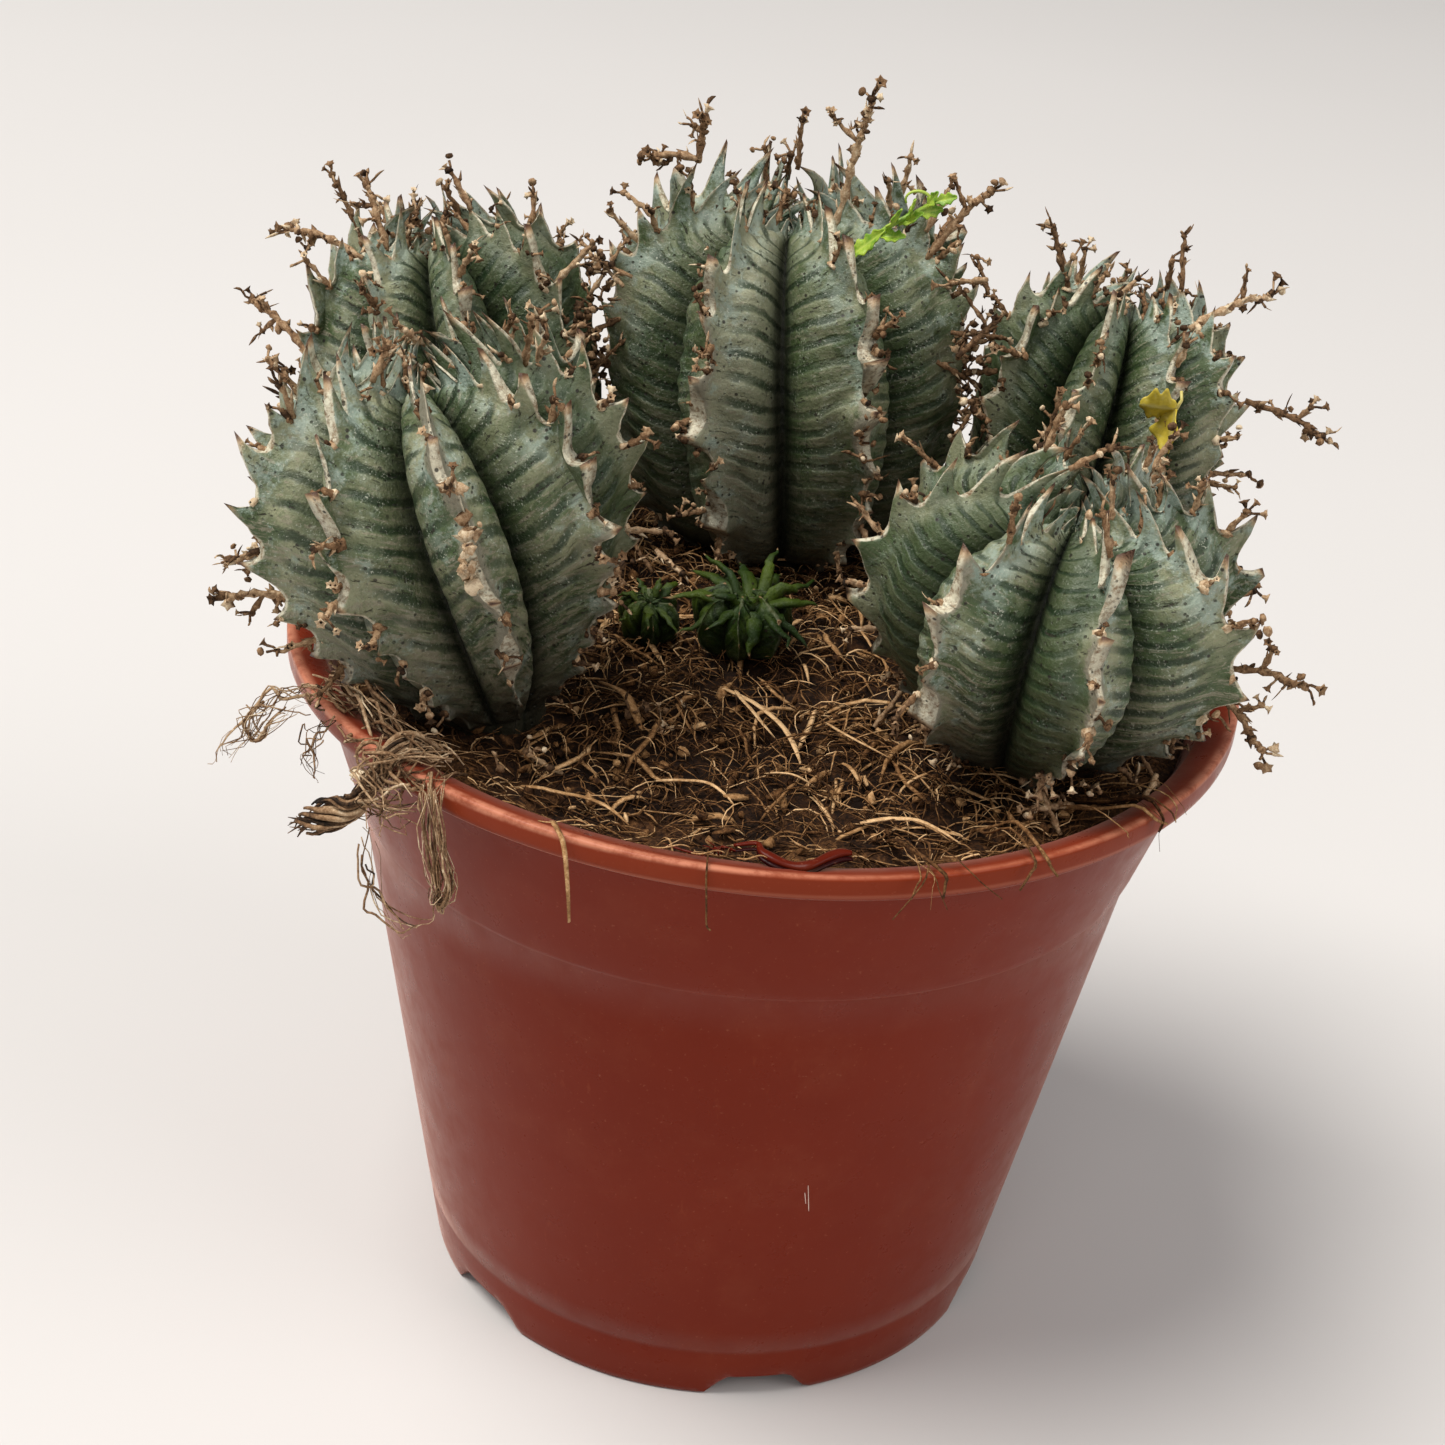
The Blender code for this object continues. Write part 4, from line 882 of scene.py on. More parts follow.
def lay(flat, lift, sink=0.0):
    """Points over the soil along a flat path, smoothed, lifted, and with their ends sunk."""
    out = np.linalg.norm(flat, axis=1)
    flat = flat * np.minimum(1, STRAW_REACH / np.maximum(out, 1e-9))[:, None]
    height = bed_height(flat[:, 0], flat[:, 1])
    height = np.convolve(np.pad(height, 2, mode="edge"), np.ones(5) / 5, mode="valid") + lift - 0.0003
    height[[0, -1]] -= sink
    return np.column_stack([flat, height])


def lay_fibres(fine, coarse, draw):
    """Tangled coir fibres and, after them, straws, which are longer, thicker and stiffer."""
    for index in range(FIBRE_COUNT + STRAW_COUNT):
        straw = index >= FIBRE_COUNT
        reach = SOIL_EDGE_RADIUS * draw.random() ** 0.46 * (0.90 if straw else 0.98)
        angle = draw.uniform(0, math.tau)
        middle = np.array([reach * math.cos(angle), reach * math.sin(angle)])
        if under_stem(*middle):
            continue
        settled = 1 - 0.55 * ramp(reach, EDGE_START, EDGE_WIDTH)
        length = draw.uniform(0.007, 0.020) if straw else draw.triangular(0.003, 0.016, 0.006)
        way = draw.uniform(0, math.tau)
        if reach > EDGE_TURN:
            way = angle + math.pi / 2 + draw.uniform(-0.9, 0.9)
        bend = draw.gauss(0, 0.5 if straw else 1.6)
        along = np.linspace(-0.5, 0.5, 6)
        turned = way + bend * along + draw.uniform(-0.6, 0.6) * np.sin(math.tau * along)
        steps = np.stack([np.cos(turned), np.sin(turned)], -1) * length / 5
        flat = middle + np.cumsum(steps, 0) - steps.sum(0) / 2
        high = draw.triangular(0, 0.0026, 0.0003) * settled
        lift = high + draw.uniform(0.0001, 0.0024) * (1 - (2 * along) ** 2) * settled
        lift = lift + draw.uniform(-0.0012, 0.0012) * along
        path = lay(flat, lift, draw.uniform(0, 0.0012))
        taper = np.array([0.5, 0.95, 1, 1, 0.8, 0.3])
        if straw:
            thick = draw.uniform(0.00025, 0.00070)
            tone = draw.triangular(0.35, 1.0, 0.65)
            coarse.tube(path, thick * taper, 4, tone, 0.30, draw.uniform(-0.6, 0.6))
        else:
            thick = draw.triangular(0.00007, 0.00024, 0.00010)
            pale = draw.random() < 0.25
            tone = draw.uniform(0.55, 0.98) if pale else draw.triangular(0.0, 0.64, 0.29) + 20 * high
            fine.tube(path, thick * taper, 3, tone, 0.8, draw.uniform(-0.6, 0.6))


def lay_straws(coarse):
    """The larger straws and strips seen on the soil."""
    run = np.linspace(0, 1, 12)
    for first, last, bow, thick, flat, tone in STRAWS:
        path = np.outer(1 - run, first) + np.outer(run, last)
        across = np.array([first[1] - last[1], last[0] - first[0]])
        path = path + np.outer(np.sin(math.pi * run), across * bow)
        girth = thick * np.interp(run, [0, 0.1, 0.8, 1], [0.6, 1, 0.8, 0.25])
        coarse.tube(lay(path, 0.0022 + 0.0012 * np.sin(math.pi * run)), girth, 6, tone, flat)


def strew_crumbs(coarse, draw):
    """Flat chips of coir and bark and, after them, crumbs of peat."""
    for index in range(CHIP_COUNT + CRUMB_COUNT):
        reach = CRUMB_REACH * math.sqrt(draw.random())
        angle = draw.uniform(0, math.tau)
        x = reach * math.cos(angle)
        y = reach * math.sin(angle)
        size = draw.uniform(0.0003, 0.0012)
        place = np.array([x, y, float(bed_height(np.array(x), np.array(y))) + draw.uniform(0, 0.0018)])
        way = scatter(draw)
        if index < CHIP_COUNT:
            half = draw.uniform(0.0008, 0.0028) * unit(way * [1, 1, 0.35])
            bend = 0.25 * np.linalg.norm(half) * scatter(draw)
            coarse.tube([place - half, place + bend, place + half], [0.6 * size, size, 0.3 * size], 4,
                        draw.triangular(0.15, 1.0, 0.45), 0.25, draw.uniform(0, 3))
        else:
            profile = [(radius * size, height * size * draw.uniform(0.5, 1.0)) for radius, height in CRUMB]
            coarse.turned(place, way, profile, 5, draw.triangular(0.02, 0.8, 0.2), rough=0.6 * size)


def soil_fibres(material):
    """What lies on the soil: coir fibres, and apart from them straws, strips, chips and crumbs."""
    fine = Strands()
    coarse = Strands()
    draw = random.Random(SEED + 2)
    lay_fibres(fine, coarse, draw)
    lay_straws(coarse)
    strew_crumbs(coarse, draw)
    fine.build("soil_fibres", material)
    coarse.build("soil_straws", material)


def hang_over(strands, angle, reach, drop, draw):
    """One straw or root hair from the soil, over the rim near an angle, and down outside it."""
    at = angle + draw.uniform(-0.05, 0.05)
    along = np.array([math.cos(at), math.sin(at)])
    across = np.array([-math.sin(at), math.cos(at)])
    sway = draw.uniform(-0.007, 0.007)
    end = draw.uniform(0.1, 1.0)
    stops = [(0.068, 0.1262), (0.0740, 0.1296), (0.0800, 0.1316 + draw.uniform(0, 0.0015)),
             (reach - 0.0006, 0.1312), (reach, RIM_TOP - 0.4 * drop * end),
             (reach + draw.uniform(-0.0002, 0.0012), RIM_TOP - drop * end)]
    path = np.array([(*(along * radius + across * sway * share), height)
                     for (radius, height), share in zip(stops, (0, 0.2, 0.5, 0.8, 1.0, 1.3))])
    path[1:3, :2] += 0.0022 * np.array([scatter(draw)[:2] for _ in range(2)])
    path[3:, :2] += np.outer(draw.uniform(-0.0016, 0.0016) * np.array([0.5, 1.0, 2.0]), across)
    places = np.linspace(0, 1, 14)
    thick = draw.choice((0.00016, 0.00028, 0.00045, 0.00075))
    strands.tube(smooth_curve(path, places), thick * (1.05 - 0.6 * places), 4,
                 draw.uniform(0.20, 0.78), 0.5, draw.uniform(-1, 1))


def rim_strands(material):
    """Straws and root hairs that hang over the pot's rim or lie along it."""
    strands = Strands()
    draw = random.Random(SEED + 3)
    for angle, reach, drop, count in RIM_LOTS:
        for _ in range(count):
            hang_over(strands, angle, reach, drop, draw)
    run = np.linspace(0, 1, 16)
    strands.tube(smooth_curve(HANGING_HAIR, run), 0.00016 + 0 * run, 4, 0.35)
    for x, length in LYING_HAIRS:
        y = -math.sqrt(0.0815 ** 2 - x * x)
        arc = np.column_stack([x - length * (0.5 - run), y - 0.001 * np.sin(5 * run + x),
                               0.1309 + 0.0007 * np.sin(math.pi * run)])
        strands.tube(arc, 0.00012 + 0 * run, 4, 0.75)
    strands.tube(smooth_curve(HANGING_STRAW, run), 0.00055 * (1.1 - 0.6 * run), 5, 0.7, 0.4)
    strands.build("rim_strands", material)


def rim_marks(dark, sliver_shadow_look):
    """The torn sliver on the rim's land with painted shadow under it, the crack beside it and crumbs of
    plastic.
    """
    run = np.linspace(0, 1, 40)
    marks = Strands()
    flat = smooth_curve(SLIVER, run)
    rise = 0.1302 + 0.0005 * np.sin(9 * run) + 0.0006 * ramp(run, 0.85, 0.15)
    thick = 0.00095 * (1 + 0.15 * np.sin(23 * run)) * np.interp(run, [0, 0.45, 0.8, 1], [0.35, 1.0, 1.1, 0.7])
    marks.tube(np.column_stack([flat, rise + 0.0002]), thick, 8, 0.5, 0.65)
    # A near-black strip just under the sliver, as its painted shadow.
    sliver_shadow = Strands()
    sliver_shadow.tube(np.column_stack([flat * 1.010, rise - 0.0004]), 0.9 * thick, 6, 0.0, 0.5)
    sliver_shadow.build("rim_sliver_shadow", sliver_shadow_look)
    crack = np.column_stack([smooth_curve(CRACK, run), 0.1306 + 0 * run])
    marks.tube(crack, 0.00022 * np.sin(math.pi * np.clip(run, 0.04, 0.96)), 6, 0.2)
    draw = random.Random(SEED + 9)
    for _ in range(9):
        x = draw.uniform(-0.0065, -0.0015)
        y = -0.0786 + draw.uniform(-0.0008, 0.0012)
        end = (x + draw.uniform(-0.0016, 0.0016), y - draw.uniform(0, 0.0012),
               0.1305 + draw.uniform(0, 0.0009))
        marks.tube([(x, y, 0.1298), (x, y, 0.1303), end], [0.0004, 0.0003, 0.0001], 4, 0.4, 0.4)
    button = [(0, -0.0002), (0.0008, 0), (0.0010, 0.0002), (0, 0.0003)]
    marks.turned((-0.0238, -0.0790, 0.1301), (0, -0.3, 1), button, 10)
    marks.build("rim_sliver", dark)


def wall_scratch(material):
    """The pale scratches low on the pot's wall."""
    scratch = Strands()
    for start, end in SCRATCHES:
        x, height = np.linspace(start, end, 12).T / 1000
        course = np.column_stack([x, -np.sqrt(wall_radius(height) ** 2 - x ** 2), height])
        scratch.tube(course, np.full(12, 0.00010), 4, 0.9)
    scratch.build("wall_scratch", material)


def stem_axis(stem, height):
    """Points of the stem's leaning axis at given heights."""
    rise = height - float(soil_height(*stem["foot"]))
    return np.stack([stem["foot"][0] + stem["lean"][0] * rise, stem["foot"][1] + stem["lean"][1] * rise], -1)


def ease_under(reach, limit):
    """Brings reach smoothly under limit: unchanged while well below it."""
    share = reach / limit
    eased = 0.86 + 0.14 * np.tanh((share - 0.86) / 0.14)
    return np.where(share > 0.86, eased / np.maximum(share, 1e-9), 1.0)


def keep_apart(name, points):
    """Draws points towards the stem's axis where they would cross a neighbour or the rim."""
    stem = STEMS[name]
    own = stem_axis(stem, points[..., 2])
    shift = points[..., :2] - own
    scale = np.ones(points.shape[:-1])
    if name in LARGE:
        for other in LARGE:
            if other == name:
                continue
            apart = stem_axis(STEMS[other], points[..., 2]) - own
            distance = np.linalg.norm(apart, axis=-1)
            share = stem["radius"] / (stem["radius"] + STEMS[other]["radius"])
            reach = np.maximum((shift * apart).sum(-1) / distance, 1e-9)
            scale = np.minimum(scale, ease_under(reach, distance * share - NEIGHBOUR_GAP))
    shift = shift * scale[..., None]
    over = np.maximum(points[..., 2] - LIP_HEIGHT - OVERHANG_START, 0)
    allowed = LIP_RADIUS - LIP_GAP + over / OVERHANG_SLOPE
    a = (shift ** 2).sum(-1)
    b = (shift * own).sum(-1)
    c = (own ** 2).sum(-1) - allowed ** 2
    limit = (-b + np.sqrt(np.maximum(b * b - a * c, 0))) / np.maximum(a, 1e-12)
    shift = shift * np.where(limit < 8, ease_under(1.0, np.maximum(limit, 1e-3)), 1.0)[..., None]
    kept = points.copy()
    kept[..., :2] = own + shift
    return kept


def crest_control(stem):
    blend = stem["barrel"]
    return (1 - blend) * np.array(CONE_CREST) + blend * np.array(BARREL_CREST)


@functools.lru_cache(None)
def crest_course(name):
    """Places on a stem's crest profile, how far along it each lies, from 0 to 1, and the crest's length."""
    stem = STEMS[name]
    fine = np.linspace(0, 1, 400)
    curve = smooth_curve(crest_control(stem), fine) * [stem["radius"], stem["height"]]
    along = np.concatenate([[0], np.cumsum(np.linalg.norm(np.diff(curve, axis=0), axis=1))])
    return fine, along / along[-1], along[-1]


def fine_counts(name):
    """The tooth count at places on the profile: teeth crowd towards the crown and the soil."""
    fine, along, _ = crest_course(name)
    return fine, FINE_TEETH[name] * (0.85 * along + 0.15 * along ** 3 + 0.03 * np.sin(math.tau * along))


def tooth_places(name, counts):
    """Places on the profile, from 0 to 1, where a rib's tooth count has the given values."""
    fine, found = fine_counts(name)
    return np.interp(counts, found, fine)


def cad_count(name, count):
    """The tooth count here at a tooth count of the CAD model, whose teeth are fewer."""
    fine, along, _ = crest_course(name)
    place = np.interp(count, STEMS[name]["teeth"] * (0.75 * along + 0.25 * along ** 3), fine)
    return float(np.interp(place, *fine_counts(name)))


def corky(name, rib, across, place):
    """How corky a stem's surface is: 1 on the pale crests of some ribs and on the ragged feet of all."""
    cork = 0.75 * ramp(0.26 - place, 0, 0.14) * np.exp(-(across / 0.10) ** 2)
    for index, (width, low, high) in CORKY.get(name, {}).items():
        window = ramp(place, low, 0.12) * ramp(high - place, 0, 0.1)
        cork = np.maximum(cork, np.where(rib == index, window * np.exp(-(across / width) ** 2), 0))
    return cork


def stem_frame(stem):
    """The ways of a stem's own axes: up its lean, to its right, and to its back."""
    tip = Vector((*stem["lean"], 1)).normalized()
    side = Vector((1, 0, 0))
    side = (side - tip * side.dot(tip)).normalized()
    return np.array(tip), np.array(side), np.array(tip.cross(side))


def sheltered(name, angle, rib, turns):
    """How far each point faces the middle of the clump, for fresh green and painted shade, or its cheek's
    given value.
    """
    middle = -unit(STEMS[name]["foot"])
    inner = 0.7 * np.clip(np.cos(angle) * middle[0] + np.sin(angle) * middle[1], 0, 1) ** 0.8
    for (index, cheek), fresh_and_shade in CHEEKS.get(name, {}).items():
        inner = np.where((rib == index) & (np.sign(turns - rib) == cheek), fresh_and_shade, inner)
    return inner


def skin_relief(points, place, across, swell, cork):
    """How far the skin stands out at its points: lumps, folds and grain, rougher on crests, feet and cork."""
    relief = value_noise(points, 0.0075, 10) * 0.00070 * swell
    relief = relief + value_noise(points, 0.0032, 7) * 0.00038 + value_noise(points, 0.0011, 8) * 0.00008
    relief = relief + value_noise(points, 0.0008, 9) * 0.00028 * np.exp(-across / 0.05)
    relief = relief + value_noise(points, 0.0021, 17) * 0.00060 * ramp(0.30 - place, 0, 0.2)
    return relief + value_noise(points, 0.0013, 11) * 0.00055 * cork


def stem_grid(name):
    """A stem's surface as a grid of points, a row for each step up and a column for each step round.

    Also gives the values that its material reads, and the rib and tooth count of its columns and rows.
    """
    stem = STEMS[name]
    large = name in LARGE
    ribs = stem["ribs"]
    half_columns = HALF_COLUMNS if large else OFFSET_HALF_COLUMNS
    steps = np.arange(-half_columns + 1, half_columns + 1)
    spread = np.sign(steps) * (np.abs(steps) / half_columns) ** COLUMN_CROWDING
    turns = (np.arange(ribs)[:, None] + 0.5 * spread).ravel()
    across = np.abs(np.tile(spread, ribs))
    rib = np.repeat(np.arange(ribs), len(steps))
    counts = np.arange(0, FINE_TEETH[name] - 0.1, 1 / ROWS)

    # Seeded differences: sway and girth of each rib, then nudge, length, crook and curl of each tooth.
    draw = random.Random(name)
    jitter = np.array([(draw.uniform(-0.03, 0.03), draw.uniform(0.96, 1.02)) for _ in range(ribs)])
    teeth = FINE_TEETH[name] + 2
    spans = ((-0.13, 0.13), (0.70, 1.25), (-1, 1), (0.05, 0.60))
    nudge, length, crook, curl = (np.array([[draw.uniform(*span) for _ in range(teeth)] for _ in range(ribs)])
                                  for span in spans)

    # Where each row crosses the ribs, and which tooth it is on there.
    phase = counts[:, None] + 0.5 * (rib % 2)[None]
    tooth = np.floor(phase).astype(int)
    from_tip = phase % 1 - 0.5
    middles = np.arange(teeth) + 0.5
    shifted = np.stack([np.interp(phase[:, i], middles, nudge[rib[i]]) for i in range(len(rib))], 1)
    shifted = counts[:, None] + shifted * (1 - across) ** 1.5
    place = tooth_places(name, np.clip(shifted, 0, FINE_TEETH[name]))
    course = np.stack([0.85 * counts[:, None] + 0 * across[None], 1.6 * across[None] + 0 * place,
                       (2.3 * rib + 7.1 * (turns > rib))[None] + 0 * place], -1)

    # The rib's profile between crest and furrow.
    control = crest_control(stem)
    size = np.array([stem["radius"], stem["height"]])
    crest = smooth_curve(control, place)
    furrow = smooth_curve(FURROW, place)
    along = (smooth_curve(control, place + 0.01) - smooth_curve(control, place - 0.01)) * size
    along /= np.linalg.norm(along, axis=-1)[..., None]
    outward = np.stack([along[..., 1], -along[..., 0]], -1)
    blunt = np.sqrt(across ** 2 + MARGIN_ROUND ** 2) - MARGIN_ROUND
    rise = 1 - (MARGIN_RISE * (1 - np.exp(-blunt / MARGIN_WIDTH)) + CHEEK_SLOPE * across
                + CHEEK_BULGE * across ** 4)
    profile = (furrow + (crest - furrow) * rise[None, :, None]) * size

    # Teeth: thin blades along the crest, each drawn out to a tip that leans up or down the rib.
    half_pitch = math.pi / ribs * np.maximum(crest[..., 0], 0.12) * stem["radius"]
    blade = np.minimum((BLADE_HALF if large else 0.0006) / half_pitch, 0.6)
    tent = np.clip(1 - across / blade, 0, 1) ** 1.2
    base = np.interp(place, [0.3, 0.7, 0.84, 0.95], [0.44, 0.42, 0.38, 0.34])
    base = base * np.where(from_tip > 0, 0.86, 1.08)
    within = np.clip(1 - np.abs(from_tip) / base, 0, 1)
    power = np.interp(place, [0.5, 0.85], [1.9, 1.5])
    shape = within ** power
    faces_front = np.clip(-np.sin(math.radians(stem["phase"]) + math.tau * rib / ribs), 0, 1)
    tall = np.interp(place, *np.transpose(TOOTH_HEIGHTS)) * stem["radius"] * length[rib[None], tooth]
    tall = tall * (1 - 0.60 * faces_front * ramp(place, 0.74, 0.12)) * (1 if large else 0.4)
    horn = shape * tent
    lift = tall * (0.85 * horn + 0.15 * np.sqrt(shape) * np.exp(-(across / (2.4 * blade)) ** 2))
    lean = np.interp(place, [0.3, 0.6, 0.8, 0.92], [0.05, 0.30, 0.22, -0.05]) + curl[rib[None], tooth] * horn
    profile = profile + lift[..., None] * (outward + lean[..., None] * along)
    spacing = crest_course(name)[2] / FINE_TEETH[name]
    margin = across * half_pitch + base * spacing * within * (1 - tent ** (1 / power))

    # Folds across the cheeks, one for each dark band.
    bands = np.interp(place, *crest_course(name)[:2]) * crest_course(name)[2] / BAND_SPACING[name]
    bands = bands + 1.0 * across[None] ** 1.4 + 0.45 * value_noise(course, 1.0, 12)
    crease = np.cos(math.tau * bands)
    swell = ramp(across, 0.10, 0.2) * ramp(1 - across, 0, 0.15)
    swell = swell * np.clip((place - 0.10) / 0.25, 0.2, 1)
    profile = profile - (0.017 * stem["radius"] * (0.5 + 0.5 * crease) ** 1.7 * swell)[..., None] * outward

    # The profile turned round the stem's leaning axis, with sway, crooked teeth and twist.
    sway = jitter[rib, 0] * (1 - across)
    wave = 0.10 * value_noise(course * [1, 0, 1], 1.0, 14) * (1 - across) ** 2
    wave = wave + 0.20 * crook[rib[None], tooth] * tall * horn / (2 * half_pitch)
    twist = math.radians(stem["twist"]) * (place - 0.5)
    angle = math.radians(stem["phase"]) + math.tau * (turns + sway + wave) / ribs + twist
    angle = angle + stem["widen"] * np.sin(angle + math.pi / 2)
    girth = 1 + (jitter[rib, 1] - 1) * (1 - across) * np.clip(4 * place * (1 - place), 0, 1)
    radius = profile[..., 0] * girth
    tip, side, back = stem_frame(stem)
    foot = float(soil_height(*stem["foot"]))
    points = (np.array([*stem["foot"], foot]) + profile[..., 1:] * tip
              + (radius * np.cos(angle))[..., None] * side + (radius * np.sin(angle))[..., None] * back)
    points = keep_apart(name, points)
    cork = corky(name, rib, across, place)
    face = points - np.concatenate([stem_axis(stem, points[..., 2]), points[..., 2:] - 0.002], -1)
    face /= np.linalg.norm(face, axis=-1)[..., None]
    points = points + skin_relief(points, place, across, swell, cork)[..., None] * face
    data = (np.broadcast_to(across, place.shape), bands, place, horn, cork, 1000 * margin,
            sheltered(name, angle, rib, turns))
    return dict(name=name, points=points, values=dict(zip(SKIN_VALUES, data)), rib=rib, counts=counts,
                across=across)


def make_stem(name, material):
    """The finely ribbed and toothed body of a stem, closed at its neck in the soil and at its growing tip."""
    stem = STEMS[name]
    grid = stem_grid(name)
    points = grid["points"]
    foot = np.array(stem["foot"])
    neck = NECK_FRACTION * stem["radius"]
    bottom = float(soil_height(*foot)) - min(NECK_DEPTH, 3 * neck)
    around = points[0, :, :2] - foot
    around = around / np.linalg.norm(around, axis=1)[:, None] * neck + foot
    ring = np.column_stack([around, np.full(len(around), bottom)])
    rows = np.concatenate([ring[None], points])
    ends = [(*foot, bottom), points[-1].mean(0)]
    quads, triangles = tube_faces(rows.shape[0], rows.shape[1])
    values = {}
    for key, data in grid["values"].items():
        values[key] = np.concatenate([data[0], data.ravel(), [data[0].mean(), data[-1].mean()]])
    body = mesh_object(f"{name}_skin", np.vstack([rows.reshape(-1, 3), ends]),
                       quads.tolist() + triangles.tolist(), material, values)
    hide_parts(name)
    return grid


def crest_point(grid, rib, count):
    """The point of a rib's crest at a tooth count, the way it faces, and the crest's own way up the stem."""
    column = int(np.flatnonzero((grid["rib"] == rib) & (grid["across"] < 1e-9))[0])
    row = int(np.abs(grid["counts"] - count).argmin())
    crest = grid["points"][:, column]
    point = crest[row]
    stem = STEMS[grid["name"]]
    axis = np.array([*stem_axis(stem, point[2]), point[2] - 0.3 * stem["radius"]])
    reach = int(round(1 / (grid["counts"][1] - grid["counts"][0])))
    along = unit(crest[min(row + reach, len(crest) - 1)] - crest[max(row - reach, 0)])
    out = unit(point - axis)
    return point, unit(out - along * along.dot(out)), along


def offset_horns(name, grid, material):
    """The leaf-like horns of a young offset, spread out wide and low from its crown."""
    horns = Strands(*SKIN_VALUES)
    draw = random.Random(name + "horns")
    size = STEMS[name]["radius"]
    crown = grid["points"][-1].mean(0)
    if name == "offset_large":
        crown = crown + [0.0022, -0.0026, -0.0006]
    run = np.linspace(0, 1, 10)
    taper = np.interp(run, [0, 0.3, 0.6, 0.9, 1.0], [0.65, 1.0, 0.75, 0.25, 0.04])
    sides = 8
    for tip in OFFSET_TIPS[name]:
        tip = np.array(tip)
        out = unit((tip - crown) * [1, 1, 0.2])
        root = crown + 0.18 * size * out - [0, 0, 0.0008]
        middle = 0.5 * (root + tip) + [0, 0, 0.10 * size + 0.0004]
        path = smooth_curve([root, middle, tip], run) + 0.0002 * np.array([scatter(draw) for _ in run])
        girth = 0.15 * size * draw.uniform(0.7, 1.25) * taper
        path[1:-1] += 0.0004 * np.array([scatter(draw) for _ in run[2:]])
        horn = np.append(np.repeat(run ** draw.uniform(2, 7), sides), [0, 1])
        horns.tube(path, girth, sides, (0.35, 0.5, 0.5, horn, 0.0, 0.8, 0.0), 0.60, draw.uniform(-0.4, 0.4))
    for _ in range(9):
        out = unit(scatter(draw) * [1, 1, 0] + [0, 0, draw.uniform(0.6, 1.6)])
        root = crown + 0.10 * size * out * [1, 1, 0] - [0, 0, 0.0005]
        path = [root + out * 0.30 * size * step for step in np.linspace(0, 1, 6)]
        girth = 0.08 * size * np.array([0.7, 1, 0.9, 0.7, 0.4, 0.05])
        horns.tube(path, girth, 6, (0.2, 0.5, 0.9, 0.0, 0.0, 0.8, 0.0), 0.7)
    horns.build(f"{name}_horns", material)


def dry_bit(strands, place, way, size, draw):
    """A dry flower cup, a seed capsule or a curled scale."""
    kind = draw.random()
    tone = draw.choice((0.25, 0.40, 0.55, 0.70, 0.85))
    if kind < 0.42:
        strands.turned(place, way, sized(CUP, size, 1.2 * size), 10, tone, 5, 0.25)
        strands.turned(place + 0.75 * size * unit(way), way, sized(KNOB, 0.32 * size, 0.4 * size), 5, 0.05)
    elif kind < 0.62:
        strands.turned(place + way * size, way, sized(KNOB, size), 7, tone, 3, 0.2, rough=0.25 * size)
    else:
        curl = scatter(draw)
        reach = size * draw.uniform(1.4, 3.0)
        path = [place + way * reach * t + curl * reach * 0.45 * t * t for t in (0, 0.35, 0.7, 1.0)]
        strands.tube(path, size * np.array([0.30, 0.42, 0.30, 0.07]), 4, tone, 0.35, draw.uniform(0, 3))


def spray(strands, place, way, size, draw, count):
    """Dry bits on thin side stalks, spread round one point of a stalk or tooth."""
    place = np.asarray(place)
    strands.turned(place, way, sized(KNOB, 0.75 * size, size), 6, draw.uniform(0.1, 0.6), rough=0.4 * size)
    for _ in range(count):
        out = unit(0.8 * unit(way) + 0.95 * scatter(draw))
        reach = size * draw.uniform(0.5, 2.6)
        middle = place + 0.5 * reach * out + 0.15 * reach * scatter(draw)
        end = place + reach * out
        strands.tube([place, middle, end], [0.00030, 0.00022, 0.00026], 4, draw.uniform(0.2, 0.7))
        dry_bit(strands, end, unit(out + 0.3 * scatter(draw)), size * draw.uniform(0.6, 1.0), draw)


def dry_stalk(strands, path, radius, draw, count=3):
    """A dried flower stalk along a path: knobbly, with scales round its nodes and a spray on its end."""
    path = np.asarray(path, float)
    length = np.linalg.norm(np.diff(path, axis=0), axis=1).sum()
    steps = max(6, int(length / 0.0008))
    places = np.linspace(0, 1, steps)
    fine = smooth_curve(path, places)
    fine[1:] += 0.00018 * np.array([scatter(draw) for _ in range(steps - 1)])
    nodes = np.array([index % 3 == 2 for index in range(steps)])
    tone = draw.uniform(0.34, 0.72)
    strands.tube(fine, radius * (1.25 - 0.40 * places) * np.where(nodes, 1.5, 0.90), 6, tone)
    heading = unit(fine[-1] - fine[0])
    for index in np.flatnonzero(nodes[:-1]):
        for _ in range(draw.choice((2, 2, 3))):
            out = unit(scatter(draw) + 0.4 * heading)
            reach = draw.uniform(0.0008, 0.0021)
            bend = fine[index] + out * reach + heading * draw.uniform(0.0002, 0.0012)
            strands.tube([fine[index], fine[index] + 0.5 * reach * out, bend],
                         [radius * 0.8, radius * 0.9, radius * 0.12], 4,
                         tone + draw.uniform(-0.3, 0.35), 0.35, draw.uniform(0, 3))
        if draw.random() < 0.25:
            spray(strands, fine[index], unit(scatter(draw) + 0.3 * heading), radius * 1.7, draw, 1)
    spray(strands, fine[-1], fine[-1] - fine[-3], radius * 2.1, draw, count)


def short_path(root, way, reach):
    """A straight path from just under the skin to a tip."""
    return [root - way * STALK_ROOT, root + way * 0.5 * reach, root + way * reach]


